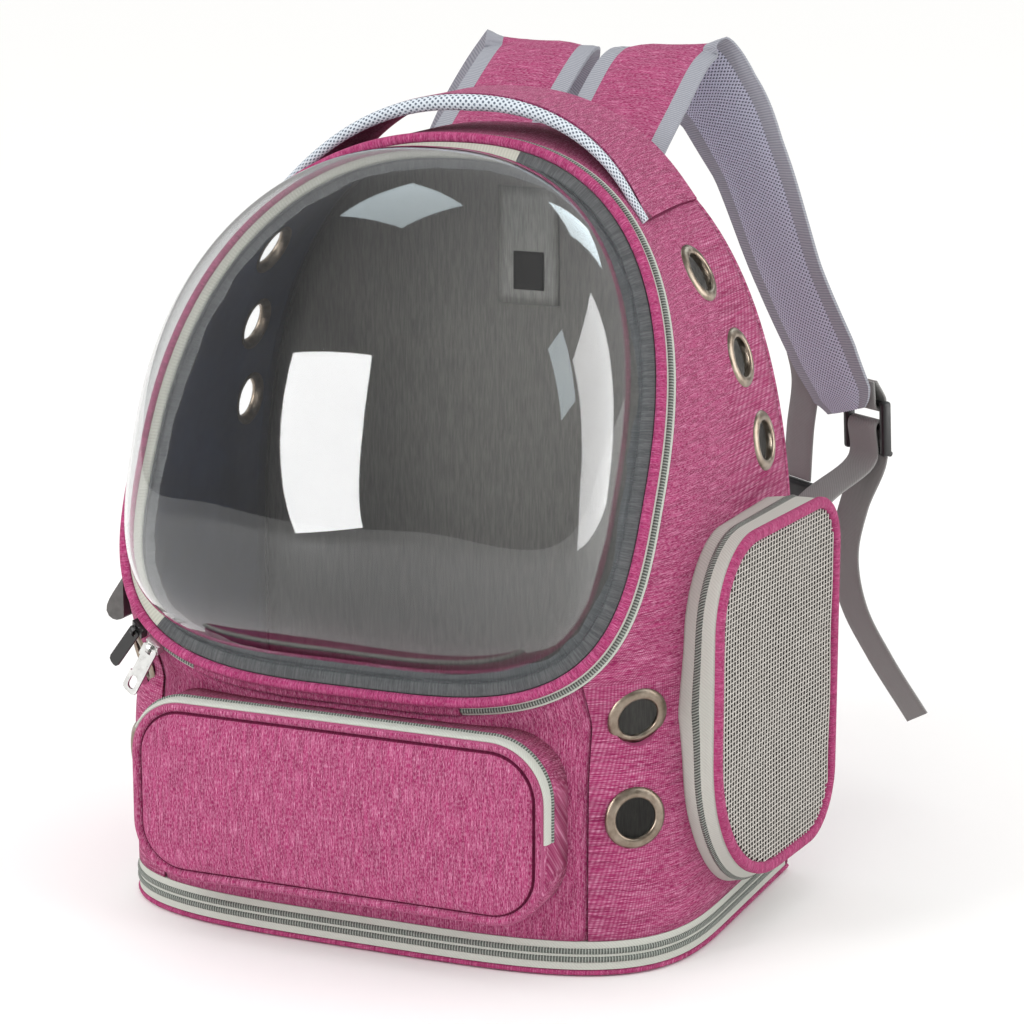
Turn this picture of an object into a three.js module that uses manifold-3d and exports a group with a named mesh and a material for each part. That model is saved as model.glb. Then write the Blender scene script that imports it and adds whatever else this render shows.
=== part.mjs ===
// A bubble pet carrier backpack: a cloth body shaped like an arched loaf, a leaning
// zipped door with a clear dome, a front pocket, a net side pocket, ventilation eyelets,
// a top handle and two padded shoulder straps with their adjusters.
//
// Millimetres, +Z up. The origin is the middle of the underside of the base, the front
// of the carrier faces -Y and the wearer's back would be at +Y.

import * as THREE from 'three';
import { mergeVertices } from 'three/addons/utils/BufferGeometryUtils.js';
import Module from 'manifold-3d';

const wasm = await Module();
wasm.setup();

// Clearances
const touchGap = 0.3; // between two pieces that touch
const seatGap = 0.6; // between a curved cloth wall and a piece sewn on it

// Body
const bodyWidth = 321;
const bodyDepth = 204.8;
const bodyHeight = 402;
const archSpring = 127; // height where the sides begin to curve in
const archPower = 2.6; // roundness of the arch seen from behind
const cornerDepth = 114.4; // how far back the front corners reach
const cornerPower = 3.8; // roundness of the front corners at the base
const doorCornerPower = 3.0; // the same beside the door
const cornerSoftenLow = 90; // height where the corners start to soften
const cornerSoftenHigh = 150; // height where they are as soft as beside the door
const clothWall = 3; // outer cloth, foam and inner cloth
const liningWall = 1;
const liningMargin = 2.3; // between the back lining's edge and the side wall's inner face
const backPadding = 4;
const frontSeamMargin = 40.5; // from the widest point in to the front panel's seams

// Base
const baseThickness = 3;
const basePipingReach = 0.8;
const baseTapeTop = 18;
const baseCoilRise = 1;
const baseCoilWidth = 2.6;
const baseCoilSpacing = 4.6;

// Door
const doorSill = 129.6; // lowest point of the door's zipper
const doorWidestHeight = 239.8;
const doorSideMargin = 13.2; // from the widest point of the body in to the door
const doorCrownRise = 0.5;
const doorUpperPower = 2.31;
const doorLowerPower = 3.22;
const doorLean = 0.45; // set back for each millimetre of height
const doorLeanGrowth = 13.8; // added set back at the crown
const doorBow = 10; // how much further forward the widest points stand
const stripSlope = 34; // degrees between the zipper's tape and the door's normal
const doorZipperWidth = 6;
const tapeThickness = 1.6;
const doorCoilRise = 1.1;
const zipperEndRight = 58; // where the zipper ends on the sill, right of the middle
const zipperEndLeft = -92;
const pipingRadius = 2.7;
const bindingWidth = 6.5;
const bindingThickness = 1.8;
const innerTapeWidth = 11;
const innerTapeThickness = 1.2;
const hingeFlapHeight = 9;
const hingeFlapThickness = 3;

// Clear dome
const domeDepth = 95;
const domePower = 2.5;
const domeWall = 1.2;
const domeFlange = 5;

// Eyelets
const eyeletOuterRadius = 16;
const eyeletHoleRadius = 10.5;
const eyeletBarrelWall = 1.4;
const eyeletFlangeRise = 1.9;
const eyeletInnerFlange = 14.2;
const eyeletSeatDepth = 0.8;
const upperEyelets = [
  { depth: 47, height: 335 },
  { depth: 60, height: 290 },
  { depth: 70, height: 245 },
];
const lowerEyelets = [
  { across: 139, height: 132 },
  { across: 140, height: 81.5 },
];

// Front pocket
const pocketBottom = 31;
const pocketTop = 127;
const pocketLeftMargin = 0.6; // in from the front panel's seam
const pocketRightMargin = 9;
const pocketReach = 23; // how far it stands out
const pocketCorner = 30;
const pocketWall = 2;
const pocketRim = 6;
const pocketFaceBulge = 3;
const pocketTapeWidth = 6;

// Net side pocket on the right
const netPocketFront = -52; // where its wall meets the body's side
const netPocketRear = 92;
const netPocketBottom = 21;
const netPocketTop = 216;
const netFaceFront = -62; // outline of its outer rim
const netFaceRear = 95;
const netFaceBottom = 31;
const netFaceTop = 218;
const netReachFront = 16; // how far the rim stands out at the front and the rear
const netReachRear = 27;
const netCornerTopFront = 45;
const netCornerBottomFront = 80;
const netCornerTopRear = 30;
const netCornerBottomRear = 35;
const netWall = 2;
const netBindingWidth = 6;
const netBindingThickness = 3.4;
const netThickness = 1.2;
const netRows = 8;
const netColumns = 6;
const netBar = 5;

// Carrying handle
const handleHalfSpan = 103;
const handleRise = 17.5;
const handleFrontInset = 10; // behind the door's edge
const handleRearInset = 6; // before the back panel
const handleThickness = 2.6;
const handleSeat = -0.2; // under the band's ends, above the rounded arch that the facets cut short
const handleRollRadius = 4.4;
const handleRollEndShare = 0.45; // of its radius left at the ends

// Shoulder straps
const strapWidth = 67;
const strapThickness = 8;
const strapGap = 8; // between the two straps
const strapRootHeight = 338;
const strapFoldHeight = 433;
const strapFoldBack = 128; // how far behind the back panel the straps fold over
const strapEndHeight = 236;
const strapEndAcross = 146;
const strapBinding = 12;

// Adjusters
const webbingWidth = 25;
const webbingThickness = 1.6;
const lockWidth = 37;
const lockHeight = 32;
const lockThickness = 3.4;
const lockRail = 4.5;
const lockBar = 3.4;
const lockBack = 141; // behind the back panel
const lockAcross = 157;
const lockCentreHeight = 222;
const strapLoopLength = 13; // from the lock's top bar up along the strap
const anchorAcross = 125;
const anchorHeight = 34;
const tailEndHeight = 50;

// Chest strap halves
const chestDrop = 80;
const chestStation = 10; // row of the shoulder strap that carries it
const chestInset = 2; // from the strap's inner edge in to the webbing's middle
const chestSewnLength = 22; // against the strap
const buckleWidth = 32;
const buckleHeight = 30;
const buckleThickness = 8;

// Side loop on the left
const loopHeight = 160;
const loopDepth = -58;
const loopWidth = 16;
const loopLength = 24;
const loopThickness = 11;

// Zipper sliders and their pull tabs
const sliderLength = 8.6;
const sliderWidth = 6;
const sliderThickness = 3.6;
const bailRadius = 2.5;
const bailWire = 0.9;
const tabThickness = 1.2;
const tabPinHeight = 0.9; // tab's top bar above the slider
const silverTabLength = 30;
const silverTabWidth = 9.4;
const blackTabLength = 27;
const blackTabWidth = 7;
const silverSliderAcross = -113;
const blackSliderAcross = -123;

// Numbers of facets
const bodyRowsEachSide = 12;
const cornerSteps = 5;
const ringSteps = 36;
const domeSteps = 5;
const eyeletSides = 10;

// Values worked out from the sizes above
const halfWidth = bodyWidth / 2;
const rear = bodyDepth / 2;
const front = -bodyDepth / 2;
const cornerStart = front + cornerDepth;
const gussetRear = rear - backPadding - touchGap;
const doorHalfWidth = halfWidth - doorSideMargin;
const doorCrown = bodyHeight + doorCrownRise;
const seamAcross = halfWidth - frontSeamMargin;
const tapeBottom = baseThickness + touchGap;
const panelBottom = baseTapeTop + touchGap;
const radians = Math.PI / 180;

const v3 = (x, y, z) => new THREE.Vector3(x, y, z);
const powerRound = (share, power) => Math.pow(Math.max(0, 1 - Math.pow(share, power)), 1 / power);
const blend = (a, b, t) => a + (b - a) * t;
const smooth = (low, high, value) => {
  const t = Math.min(1, Math.max(0, (value - low) / (high - low)));
  return t * t * (3 - 2 * t);
};

// Materials
const colours = {
  heather: [0xb93671, 0.9, 0],
  heatherTrim: [0xa82f66, 0.9, 0],
  greyTape: [0xc4c6bf, 0.85, 0],
  felt: [0x606060, 0.95, 0],
  creamTape: [0xb9b8ae, 0.9, 0],
  lining: [0x4c4a47, 0.6, 0],
  clear: [0xe8eef0, 0.05, 0],
  nickel: [0x968a7e, 0.35, 1],
  silver: [0xe4e5e2, 0.3, 1],
  black: [0x141414, 0.4, 0],
  strapMesh: [0x9694a5, 0.95, 0],
  handleMesh: [0xc8d4dc, 0.9, 0],
  webbing: [0x787878, 0.85, 0],
  net: [0xd7cdc8, 0.9, 0],
  rubber: [0x4a4846, 0.6, 0],
};
const materials = {};
for (const [name, [colour, roughness, metalness]] of Object.entries(colours)) {
  materials[name] = new THREE.MeshStandardMaterial({ color: colour, roughness, metalness, name });
}
materials.clear.transparent = true;
materials.clear.opacity = 0.25;

const carrier = new THREE.Group();

function addPiece(name, geometry, material) {
  const mesh = new THREE.Mesh(geometry, materials[material]);
  mesh.name = name;
  carrier.add(mesh);
  return mesh;
}

// Makes a geometry from points and triangles, with its faces turned outwards.
function geometryFrom(points, triangles) {
  let volume = 0;
  for (const [a, b, c] of triangles) {
    volume += points[a].dot(points[b].clone().cross(points[c]));
  }
  const geometry = new THREE.BufferGeometry();
  const position = new Float32Array(points.length * 3);
  points.forEach((p, i) => p.toArray(position, i * 3));
  geometry.setAttribute('position', new THREE.BufferAttribute(position, 3));
  const order = volume > 0 ? triangles : triangles.map(([a, b, c]) => [a, c, b]);
  geometry.setIndex(order.flat());
  return geometry;
}

// A wall between two grids of points, closed along its edges. With around set, the last
// row joins the first.
function wallBetween(outer, inner, around = false) {
  const rows = outer.length;
  const columns = outer[0].length;
  const points = [...outer.flat(), ...inner.flat()];
  const at = (side, i, j) => side * rows * columns + (i % rows) * columns + j;
  const triangles = [];
  const quad = (a, b, c, d) => triangles.push([a, b, c], [a, c, d]);
  const spans = around ? rows : rows - 1;
  for (let i = 0; i < spans; i++) {
    for (let j = 0; j < columns - 1; j++) {
      quad(at(0, i, j), at(0, i + 1, j), at(0, i + 1, j + 1), at(0, i, j + 1));
      quad(at(1, i, j), at(1, i, j + 1), at(1, i + 1, j + 1), at(1, i + 1, j));
    }
    quad(at(0, i, 0), at(1, i, 0), at(1, i + 1, 0), at(0, i + 1, 0));
    const last = columns - 1;
    quad(at(0, i, last), at(0, i + 1, last), at(1, i + 1, last), at(1, i, last));
  }
  if (!around) {
    for (let j = 0; j < columns - 1; j++) {
      quad(at(0, 0, j), at(0, 0, j + 1), at(1, 0, j + 1), at(1, 0, j));
      const last = rows - 1;
      quad(at(0, last, j), at(1, last, j), at(1, last, j + 1), at(0, last, j + 1));
    }
  }
  return geometryFrom(points, triangles);
}

// A solid through a row of sections, each a loop of as many points. Closed rows join up.
function solidThrough(sections, closed = false) {
  const count = sections.length;
  const sides = sections[0].length;
  const points = sections.flat();
  const triangles = [];
  const spans = closed ? count : count - 1;
  for (let i = 0; i < spans; i++) {
    const k = ((i + 1) % count) * sides;
    for (let j = 0; j < sides; j++) {
      const n = (j + 1) % sides;
      triangles.push([i * sides + j, k + j, k + n], [i * sides + j, k + n, i * sides + n]);
    }
  }
  if (!closed) {
    const centreFan = (start, flip) => {
      for (let j = 1; j < sides - 1; j++) {
        triangles.push(flip ? [start, start + j + 1, start + j] : [start, start + j, start + j + 1]);
      }
    };
    centreFan(0, false);
    centreFan((count - 1) * sides, true);
  }
  return geometryFrom(points, triangles);
}

// The outline of the body at one height, and the arch seen from behind

function archWidth(height) {
  if (height <= archSpring) return halfWidth;
  return halfWidth * powerRound((height - archSpring) / (bodyHeight - archSpring), archPower);
}

function doorWidthAt(height) {
  const lower = height < doorWidestHeight;
  const reach = lower ? doorWidestHeight - doorSill : doorCrown - doorWidestHeight;
  const share = Math.min(1, Math.abs(height - doorWidestHeight) / reach);
  return doorHalfWidth * powerRound(share, lower ? doorLowerPower : doorUpperPower);
}

function doorPoint(across, height) {
  const rise = (height - doorSill) / (doorCrown - doorSill);
  const bow = doorBow * Math.pow(across / doorHalfWidth, 2);
  const y = front + doorLean * (height - doorSill) + doorLeanGrowth * rise * rise - bow;
  return v3(across, y, height);
}

function cornerPowerAt(height) {
  return blend(cornerPower, doorCornerPower, smooth(cornerSoftenLow, cornerSoftenHigh, height));
}

// Depth of the rounded corner at one height: the front face below the door, and beside
// the door whatever carries the corner through the door's edge.
function cornerDepthAt(height) {
  if (height <= doorSill) return cornerDepth;
  const edge = doorPoint(doorWidthAt(height), height);
  return (cornerStart - edge.y) / powerRound(edge.x / archWidth(height), cornerPowerAt(height));
}

// Front surface of the body at a place across and up, below the door
function frontSurface(across, height) {
  const share = powerRound(Math.abs(across) / archWidth(height), cornerPowerAt(height));
  return v3(across, cornerStart - cornerDepthAt(height) * share, height);
}

// The height where the door's edge crosses the front panel's seam
const seamTop = (() => {
  const share = powerRound(seamAcross / doorHalfWidth, doorLowerPower);
  return doorWidestHeight - (doorWidestHeight - doorSill) * share;
})();

// A polyline's point at a share of its length
function alongLine(line, share) {
  const lengths = [0];
  for (let i = 1; i < line.length; i++) {
    lengths.push(lengths[i - 1] + line[i].distanceTo(line[i - 1]));
  }
  const target = share * lengths[lengths.length - 1];
  let i = 1;
  while (i < line.length - 1 && lengths[i] < target) i++;
  const t = (target - lengths[i - 1]) / (lengths[i] - lengths[i - 1] || 1);
  return line[i - 1].clone().lerp(line[i], Math.min(1, Math.max(0, t)));
}

const fineSteps = 240;
const quarter = (from, to, point) => {
  const line = [];
  for (let i = 0; i <= fineSteps; i++) line.push(point(blend(from, to, i / fineSteps)));
  return line;
};

// Right half of the door's edge and of the arch above the door's widest height
const doorUpperLine = quarter(0, Math.PI / 2, (angle) => {
  const across = doorHalfWidth * Math.pow(Math.cos(angle) + 1e-9, 2 / doorUpperPower);
  const up = Math.pow(Math.sin(angle), 2 / doorUpperPower);
  return doorPoint(across, doorWidestHeight + (doorCrown - doorWidestHeight) * up);
});
const archUpperStart = Math.asin(
  Math.pow((doorWidestHeight - archSpring) / (bodyHeight - archSpring), archPower / 2)
);
const archUpperLine = quarter(archUpperStart, Math.PI / 2, (angle) => {
  const across = halfWidth * Math.pow(Math.cos(angle) + 1e-9, 2 / archPower);
  const up = Math.pow(Math.sin(angle), 2 / archPower);
  return v3(across, 0, archSpring + (bodyHeight - archSpring) * up);
});

// A row of the side wall, from the back panel to the door or to the front seam.
// Heights are given up to the door's widest point, and shares of the arch above it.
function rowAtHeight(height) {
  const width = archWidth(height);
  const endAcross = height < seamTop ? seamAcross : doorWidthAt(height);
  const power = cornerPowerAt(height);
  return {
    back: v3(width, 0, height),
    end: v3(endAcross, 0, height),
    cornerStart,
    depth: cornerDepthAt(height),
    power,
    endShare: powerRound(endAcross / width, power),
  };
}
const widestRow = rowAtHeight(doorWidestHeight - 1e-3);
const widestEdge = doorPoint(doorHalfWidth, doorWidestHeight);

function rowAtShare(share) {
  const edge = alongLine(doorUpperLine, share);
  const start = Math.min(edge.y + cornerStart - widestEdge.y, blend(edge.y, gussetRear, 0.9));
  return {
    back: alongLine(archUpperLine, share),
    end: v3(edge.x, 0, edge.z),
    cornerStart: start,
    depth: (start - edge.y) / widestRow.endShare,
    power: widestRow.power,
    endShare: widestRow.endShare,
  };
}

// Point of a row at a share of the way round its corner. Shares below 0 are on the flat.
function rowPoint(row, share) {
  if (share <= 0) {
    return v3(row.back.x, blend(row.cornerStart, gussetRear, -share), row.back.z);
  }
  const reach = share * row.endShare;
  const full = 1 - powerRound(row.endShare, row.power);
  const turned = (1 - powerRound(reach, row.power)) / full;
  return v3(
    blend(row.back.x, row.end.x, turned),
    row.cornerStart - row.depth * reach,
    blend(row.back.z, row.end.z, turned)
  );
}

// All rows of one side from the base to the crown
function sideRows(lowest, steps) {
  const lower = [lowest, archSpring, blend(doorSill, seamTop, 0.35), seamTop + 1e-3];
  const rows = lower.map(rowAtHeight);
  const lowCount = Math.round(steps * 0.3);
  for (let i = 1; i <= lowCount; i++) {
    const share = Math.pow(i / lowCount, 1.15);
    rows.push(rowAtHeight(blend(seamTop + 1e-3, doorWidestHeight - 1e-3, share)));
  }
  const highCount = steps - lowCount;
  for (let i = 1; i <= highCount; i++) rows.push(rowAtShare(i / highCount));
  return rows;
}

// Shares round the corner, closer together where the corner turns most
function cornerShares(steps) {
  const shares = [-1, -0.02];
  for (let i = 1; i <= steps; i++) shares.push(Math.pow(Math.sin((i / steps) * Math.PI / 2), 0.75));
  return shares;
}

// Outward normal of the side wall at a row and share, from its neighbours
function gridNormals(grid, mirrored) {
  return grid.map((row, i) => row.map((point, j) => {
    const above = grid[Math.min(i + 1, grid.length - 1)][j];
    const below = grid[Math.max(i - 1, 0)][j];
    const ahead = row[Math.min(j + 1, row.length - 1)];
    const behind = row[Math.max(j - 1, 0)];
    const normal = above.clone().sub(below).cross(ahead.clone().sub(behind)).normalize();
    return mirrored ? normal.negate() : normal;
  }));
}

// The whole arch from the left base over the crown to the right base
function archGrid(steps, corner, lowest, rearShift = 0) {
  const shares = cornerShares(corner);
  const right = sideRows(lowest, steps).map((row) => shares.map((share) => rowPoint(row, share)));
  const left = right.map((row) => row.map((p) => v3(-p.x, p.y, p.z)));
  const grid = [...left.slice(0, -1), ...right.slice().reverse()];
  grid.forEach((row) => { row[0].y += rearShift; });
  return grid;
}

function offsetGrid(grid, normals, distance) {
  return grid.map((row, i) => row.map((point, j) => {
    const normal = normals[i][j].clone();
    if (j === 0) normal.setY(0).normalize();
    if (i === 0 || i === grid.length - 1) normal.setZ(0).normalize();
    return point.clone().addScaledVector(normal, -distance);
  }));
}

const bodyGrid = archGrid(bodyRowsEachSide, cornerSteps, panelBottom);
const bodyNormals = gridNormals(bodyGrid, false);
const middleRow = Math.floor(bodyGrid.length / 2);
const outwards = bodyNormals[middleRow][1].z > 0 ? 1 : -1;
bodyNormals.forEach((row) => row.forEach((n) => n.multiplyScalar(outwards)));

// Solids that are cut or joined

function toSolid(geometry) {
  const bare = geometry.index ? geometry.clone() : geometry.clone();
  bare.deleteAttribute('normal');
  bare.deleteAttribute('uv');
  const merged = mergeVertices(bare, 1e-4);
  return new wasm.Manifold(new wasm.Mesh({
    numProp: 3,
    vertProperties: new Float32Array(merged.attributes.position.array),
    triVerts: new Uint32Array(merged.index.array),
  }));
}

function fromSolid(solid) {
  const mesh = solid.getMesh();
  const geometry = new THREE.BufferGeometry();
  const stride = mesh.numProp;
  const count = mesh.vertProperties.length / stride;
  const position = new Float32Array(count * 3);
  for (let i = 0; i < count; i++) {
    for (let k = 0; k < 3; k++) position[i * 3 + k] = mesh.vertProperties[i * stride + k];
  }
  geometry.setAttribute('position', new THREE.BufferAttribute(position, 3));
  geometry.setIndex(Array.from(mesh.triVerts));
  return geometry;
}

// Turns a geometry so that its Y axis points along a direction, then moves it
function placeAlong(geometry, direction, place) {
  const turn = new THREE.Quaternion().setFromUnitVectors(v3(0, 1, 0), direction.clone().normalize());
  geometry.applyQuaternion(turn);
  geometry.translate(place.x, place.y, place.z);
  return geometry;
}

// Seats of the eyelets on the side wall

function surfaceNear(point) {
  const height = point.z;
  const row = rowAtHeight(height);
  if (point.y >= cornerStart) return v3(row.back.x, point.y, height);
  const share = (cornerStart - point.y) / row.depth;
  return v3(row.back.x * powerRound(share, row.power), point.y, height);
}

function upperSurface(depth, height) {
  if (height <= doorWidestHeight) return surfaceNear(v3(0, depth, height));
  let low = 0;
  let high = 1;
  for (let i = 0; i < 40; i++) {
    const share = (low + high) / 2;
    if (alongLine(archUpperLine, share).z < height) low = share;
    else high = share;
  }
  const row = rowAtShare(low);
  if (depth >= row.cornerStart) return v3(row.back.x, depth, height);
  const reach = (row.cornerStart - depth) / row.depth;
  return rowPoint(row, reach / row.endShare);
}

function lowerSurface(across, height) {
  const row = rowAtHeight(height);
  const share = powerRound(across / row.back.x, row.power);
  return v3(across, row.cornerStart - row.depth * share, height);
}

function seatOf(surface, a, b, step) {
  const place = surface(a, b);
  const alongA = surface(a + step, b).sub(surface(a - step, b));
  const alongB = surface(a, b + step).sub(surface(a, b - step));
  const normal = alongA.cross(alongB).normalize();
  if (normal.x < 0) normal.negate();
  return { place, normal };
}

const eyeletSeats = [
  ...upperEyelets.map((e, i) => ({ name: `upper_${i + 1}`, ...seatOf(upperSurface, e.depth, e.height, 4) })),
  ...lowerEyelets.map((e, i) => ({ name: `lower_${i + 1}`, ...seatOf(lowerSurface, e.across, e.height, 3) })),
];
const allEyelets = eyeletSeats.flatMap((seat) => [
  { ...seat, side: 'right' },
  {
    name: seat.name,
    side: 'left',
    place: v3(-seat.place.x, seat.place.y, seat.place.z),
    normal: v3(-seat.normal.x, seat.normal.y, seat.normal.z),
  },
]);

// How far the wall falls away from the flat flange at the flange's edge
const eyeletFall = 1.6;

function eyeletCutter(seat, radius, from, to) {
  const height = to - from;
  const cylinder = new THREE.CylinderGeometry(radius, radius, height, eyeletSides);
  const place = seat.place.clone().addScaledVector(seat.normal, (from + to) / 2);
  return toSolid(placeAlong(cylinder, seat.normal, place));
}

function cutForEyelets(whole) {
  let solid = whole;
  const barrel = eyeletHoleRadius + eyeletBarrelWall + touchGap;
  for (const seat of allEyelets) {
    solid = solid.subtract(eyeletCutter(seat, barrel, -clothWall - 6, 6));
    solid = solid.subtract(eyeletCutter(seat, eyeletOuterRadius + touchGap, -eyeletSeatDepth, 8));
    const insideSeat = -clothWall - eyeletFall;
    solid = solid.subtract(eyeletCutter(seat, eyeletInnerFlange + touchGap, insideSeat - 8, insideSeat));
  }
  return solid;
}

// Frames round the door's edge: outwards in the door's plane, and out of the door

const doorNormal = v3(0, -1, doorLean).normalize();

function doorLoop(steps) {
  const full = [];
  const add = (count, from, to) => {
    for (let i = 0; i < count; i++) full.push(blend(from, to, i / count));
  };
  add(fineSteps, 0, 2 * Math.PI);
  const line = full.map((angle) => {
    const power = Math.sin(angle) >= 0 ? doorUpperPower : doorLowerPower;
    const c = Math.cos(angle);
    const s = Math.sin(angle);
    const across = doorHalfWidth * Math.sign(c) * Math.pow(Math.abs(c), 2 / power);
    const reach = s >= 0 ? doorCrown - doorWidestHeight : doorWidestHeight - doorSill;
    return doorPoint(across, doorWidestHeight + reach * Math.sign(s) * Math.pow(Math.abs(s), 2 / power));
  });
  line.push(line[0].clone());
  const points = [];
  for (let i = 0; i < steps; i++) points.push(alongLine(line, i / steps));
  return points;
}

const fineLoop = doorLoop(fineSteps);

function frameAt(loop, index) {
  const count = loop.length;
  const next = loop[(index + 1) % count];
  const before = loop[(index + count - 1) % count];
  const along = next.clone().sub(before).normalize();
  const out = along.clone().cross(doorNormal).normalize();
  if (out.dot(v3(loop[index].x, 0, loop[index].z - doorWidestHeight)) < 0) out.negate();
  return { place: loop[index].clone(), along, out, forward: doorNormal.clone() };
}

const ringFrames = (() => {
  const loop = doorLoop(ringSteps);
  return loop.map((_, i) => frameAt(loop, i));
})();

const inFrame = (frame, out, forward) => frame.place.clone()
  .addScaledVector(frame.out, out)
  .addScaledVector(frame.forward, forward);

// Section points of the strips, as [outwards, forwards] from the door's edge
const slope = stripSlope * radians;
const stripAt = (along, rise) => [
  -Math.sin(slope) * along + Math.cos(slope) * rise,
  Math.cos(slope) * along + Math.sin(slope) * rise,
];

function ringPiece(section, frames = ringFrames, closed = true) {
  return solidThrough(frames.map((f) => section.map(([o, d]) => inFrame(f, o, d))), closed);
}

const zipperStart = touchGap;
const zipperStop = zipperStart + doorZipperWidth;
const zipperSection = [
  stripAt(zipperStart, 0),
  stripAt(blend(zipperStart, zipperStop, 0.3), 0),
  stripAt(blend(zipperStart, zipperStop, 0.5), doorCoilRise),
  stripAt(blend(zipperStart, zipperStop, 0.7), 0),
  stripAt(zipperStop, 0),
  stripAt(zipperStop, -tapeThickness),
  stripAt(zipperStart, -tapeThickness),
];

// The zipper runs from its right end over the crown to its left end
function zipperFrames() {
  const picks = [];
  const count = fineLoop.length;
  const onSill = (p) => p.z < seamTop && p.x < zipperEndRight && p.x > zipperEndLeft;
  const keep = fineLoop.map((p) => !onSill(p));
  const start = keep.findIndex((k, i) => k && !keep[(i + count - 1) % count]);
  let total = keep.filter(Boolean).length;
  for (let i = 0; i <= ringSteps; i++) {
    const index = (start + Math.round((i / ringSteps) * (total - 1))) % count;
    picks.push(frameAt(fineLoop, index));
  }
  return picks;
}
// The fabric hinge lies along the sill between the zipper's ends
function hingeFrames() {
  const inside = fineLoop
    .map((p, i) => ({ p, i }))
    .filter(({ p }) => p.z < seamTop && p.x < zipperEndRight - 2 && p.x > zipperEndLeft + 2)
    .sort((a, b) => a.p.x - b.p.x);
  const steps = 8;
  const frames = [];
  for (let i = 0; i <= steps; i++) {
    frames.push(frameAt(fineLoop, inside[Math.round((i / steps) * (inside.length - 1))].i));
  }
  return frames;
}

// Side wall, cut where the door's zipper and fabric hinge lie on its edge
const gussetInner = offsetGrid(bodyGrid, bodyNormals, clothWall);
function cutForDoor(geometry) {
  const from = zipperStart - touchGap - 1;
  const to = zipperStop + 1;
  const section = [
    stripAt(from, doorCoilRise + hingeFlapThickness),
    stripAt(to, doorCoilRise + hingeFlapThickness),
    stripAt(to, -tapeThickness - touchGap),
    stripAt(from + 1, -tapeThickness - touchGap),
    stripAt(from + 1, 0),
  ];
  return [zipperFrames(), hingeFrames()].reduce(
    (solid, frames) => solid.subtract(toSolid(ringPiece(section, frames, false))),
    toSolid(geometry)
  );
}
addPiece(
  'gusset',
  fromSolid(cutForEyelets(cutForDoor(wallBetween(bodyGrid, gussetInner)))),
  'heather'
);

// Eyelets: a flange outside, a barrel through the wall and a flange inside
function eyeletGeometry() {
  const barrel = eyeletHoleRadius + eyeletBarrelWall;
  const outside = -eyeletSeatDepth + touchGap;
  const inside = -clothWall - eyeletFall - touchGap;
  const profile = [
    [eyeletHoleRadius, inside - 1.4],
    [eyeletInnerFlange, inside - 1.4],
    [barrel, inside],
    [barrel, outside],
    [eyeletOuterRadius, outside],
    [blend(barrel, eyeletOuterRadius, 0.45), outside + eyeletFlangeRise],
    [eyeletHoleRadius, outside + eyeletFlangeRise * 0.6],
    [eyeletHoleRadius, inside - 1.4],
  ].map(([r, h]) => new THREE.Vector2(r, h));
  return new THREE.LatheGeometry(profile, eyeletSides);
}
for (const seat of allEyelets) {
  const geometry = placeAlong(eyeletGeometry(), seat.normal, seat.place);
  addPiece(`eyelet_${seat.side}_${seat.name}`, fromSolid(toSolid(geometry)), 'nickel');
}

// Plan outline of the body near the base, from the left rear round the front
function planOutline(inset, steps, rearAt) {
  const width = halfWidth - inset;
  const depth = cornerDepth - inset;
  const right = [v3(width, rearAt, 0), v3(width, cornerStart, 0)];
  for (let i = 1; i <= steps; i++) {
    const angle = (i / steps) * Math.PI / 2;
    const x = width * Math.pow(Math.cos(angle) + 1e-12, 2 / cornerPower);
    right.push(v3(x, cornerStart - depth * Math.pow(Math.sin(angle), 2 / cornerPower), 0));
  }
  right[right.length - 1].x = 0;
  const left = right.slice(0, -1).map((p) => v3(-p.x, p.y, p.z));
  return [...left, ...right.slice().reverse()];
}

// Base panel with its piped edge
const baseSteps = 9;
const baseOutline = planOutline(-basePipingReach, baseSteps, rear);
const baseShape = new THREE.Shape(baseOutline.map((p) => new THREE.Vector2(p.x, p.y)));
addPiece(
  'base_panel',
  new THREE.ExtrudeGeometry(baseShape, { depth: baseThickness, bevelEnabled: false }),
  'heatherTrim'
);

// Base zipper: a tape round the sides and front with two coils
function baseTape() {
  const middle = (tapeBottom + baseTapeTop) / 2;
  const outer = planOutline(0, baseSteps, gussetRear);
  const coil = planOutline(-baseCoilRise, baseSteps, gussetRear);
  const inner = planOutline(clothWall, baseSteps, gussetRear);
  const half = baseCoilSpacing / 2;
  const heights = [
    [inner, tapeBottom],
    [outer, tapeBottom],
    [outer, middle - half - baseCoilWidth / 2],
    [coil, middle - half],
    [outer, middle],
    [coil, middle + half],
    [outer, middle + half + baseCoilWidth / 2],
    [outer, baseTapeTop],
    [inner, baseTapeTop],
  ];
  return solidThrough(outer.map((_, i) => heights.map(([line, z]) => v3(line[i].x, line[i].y, z))));
}
addPiece('base_zipper', fromSolid(toSolid(baseTape())), 'greyTape');

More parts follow.
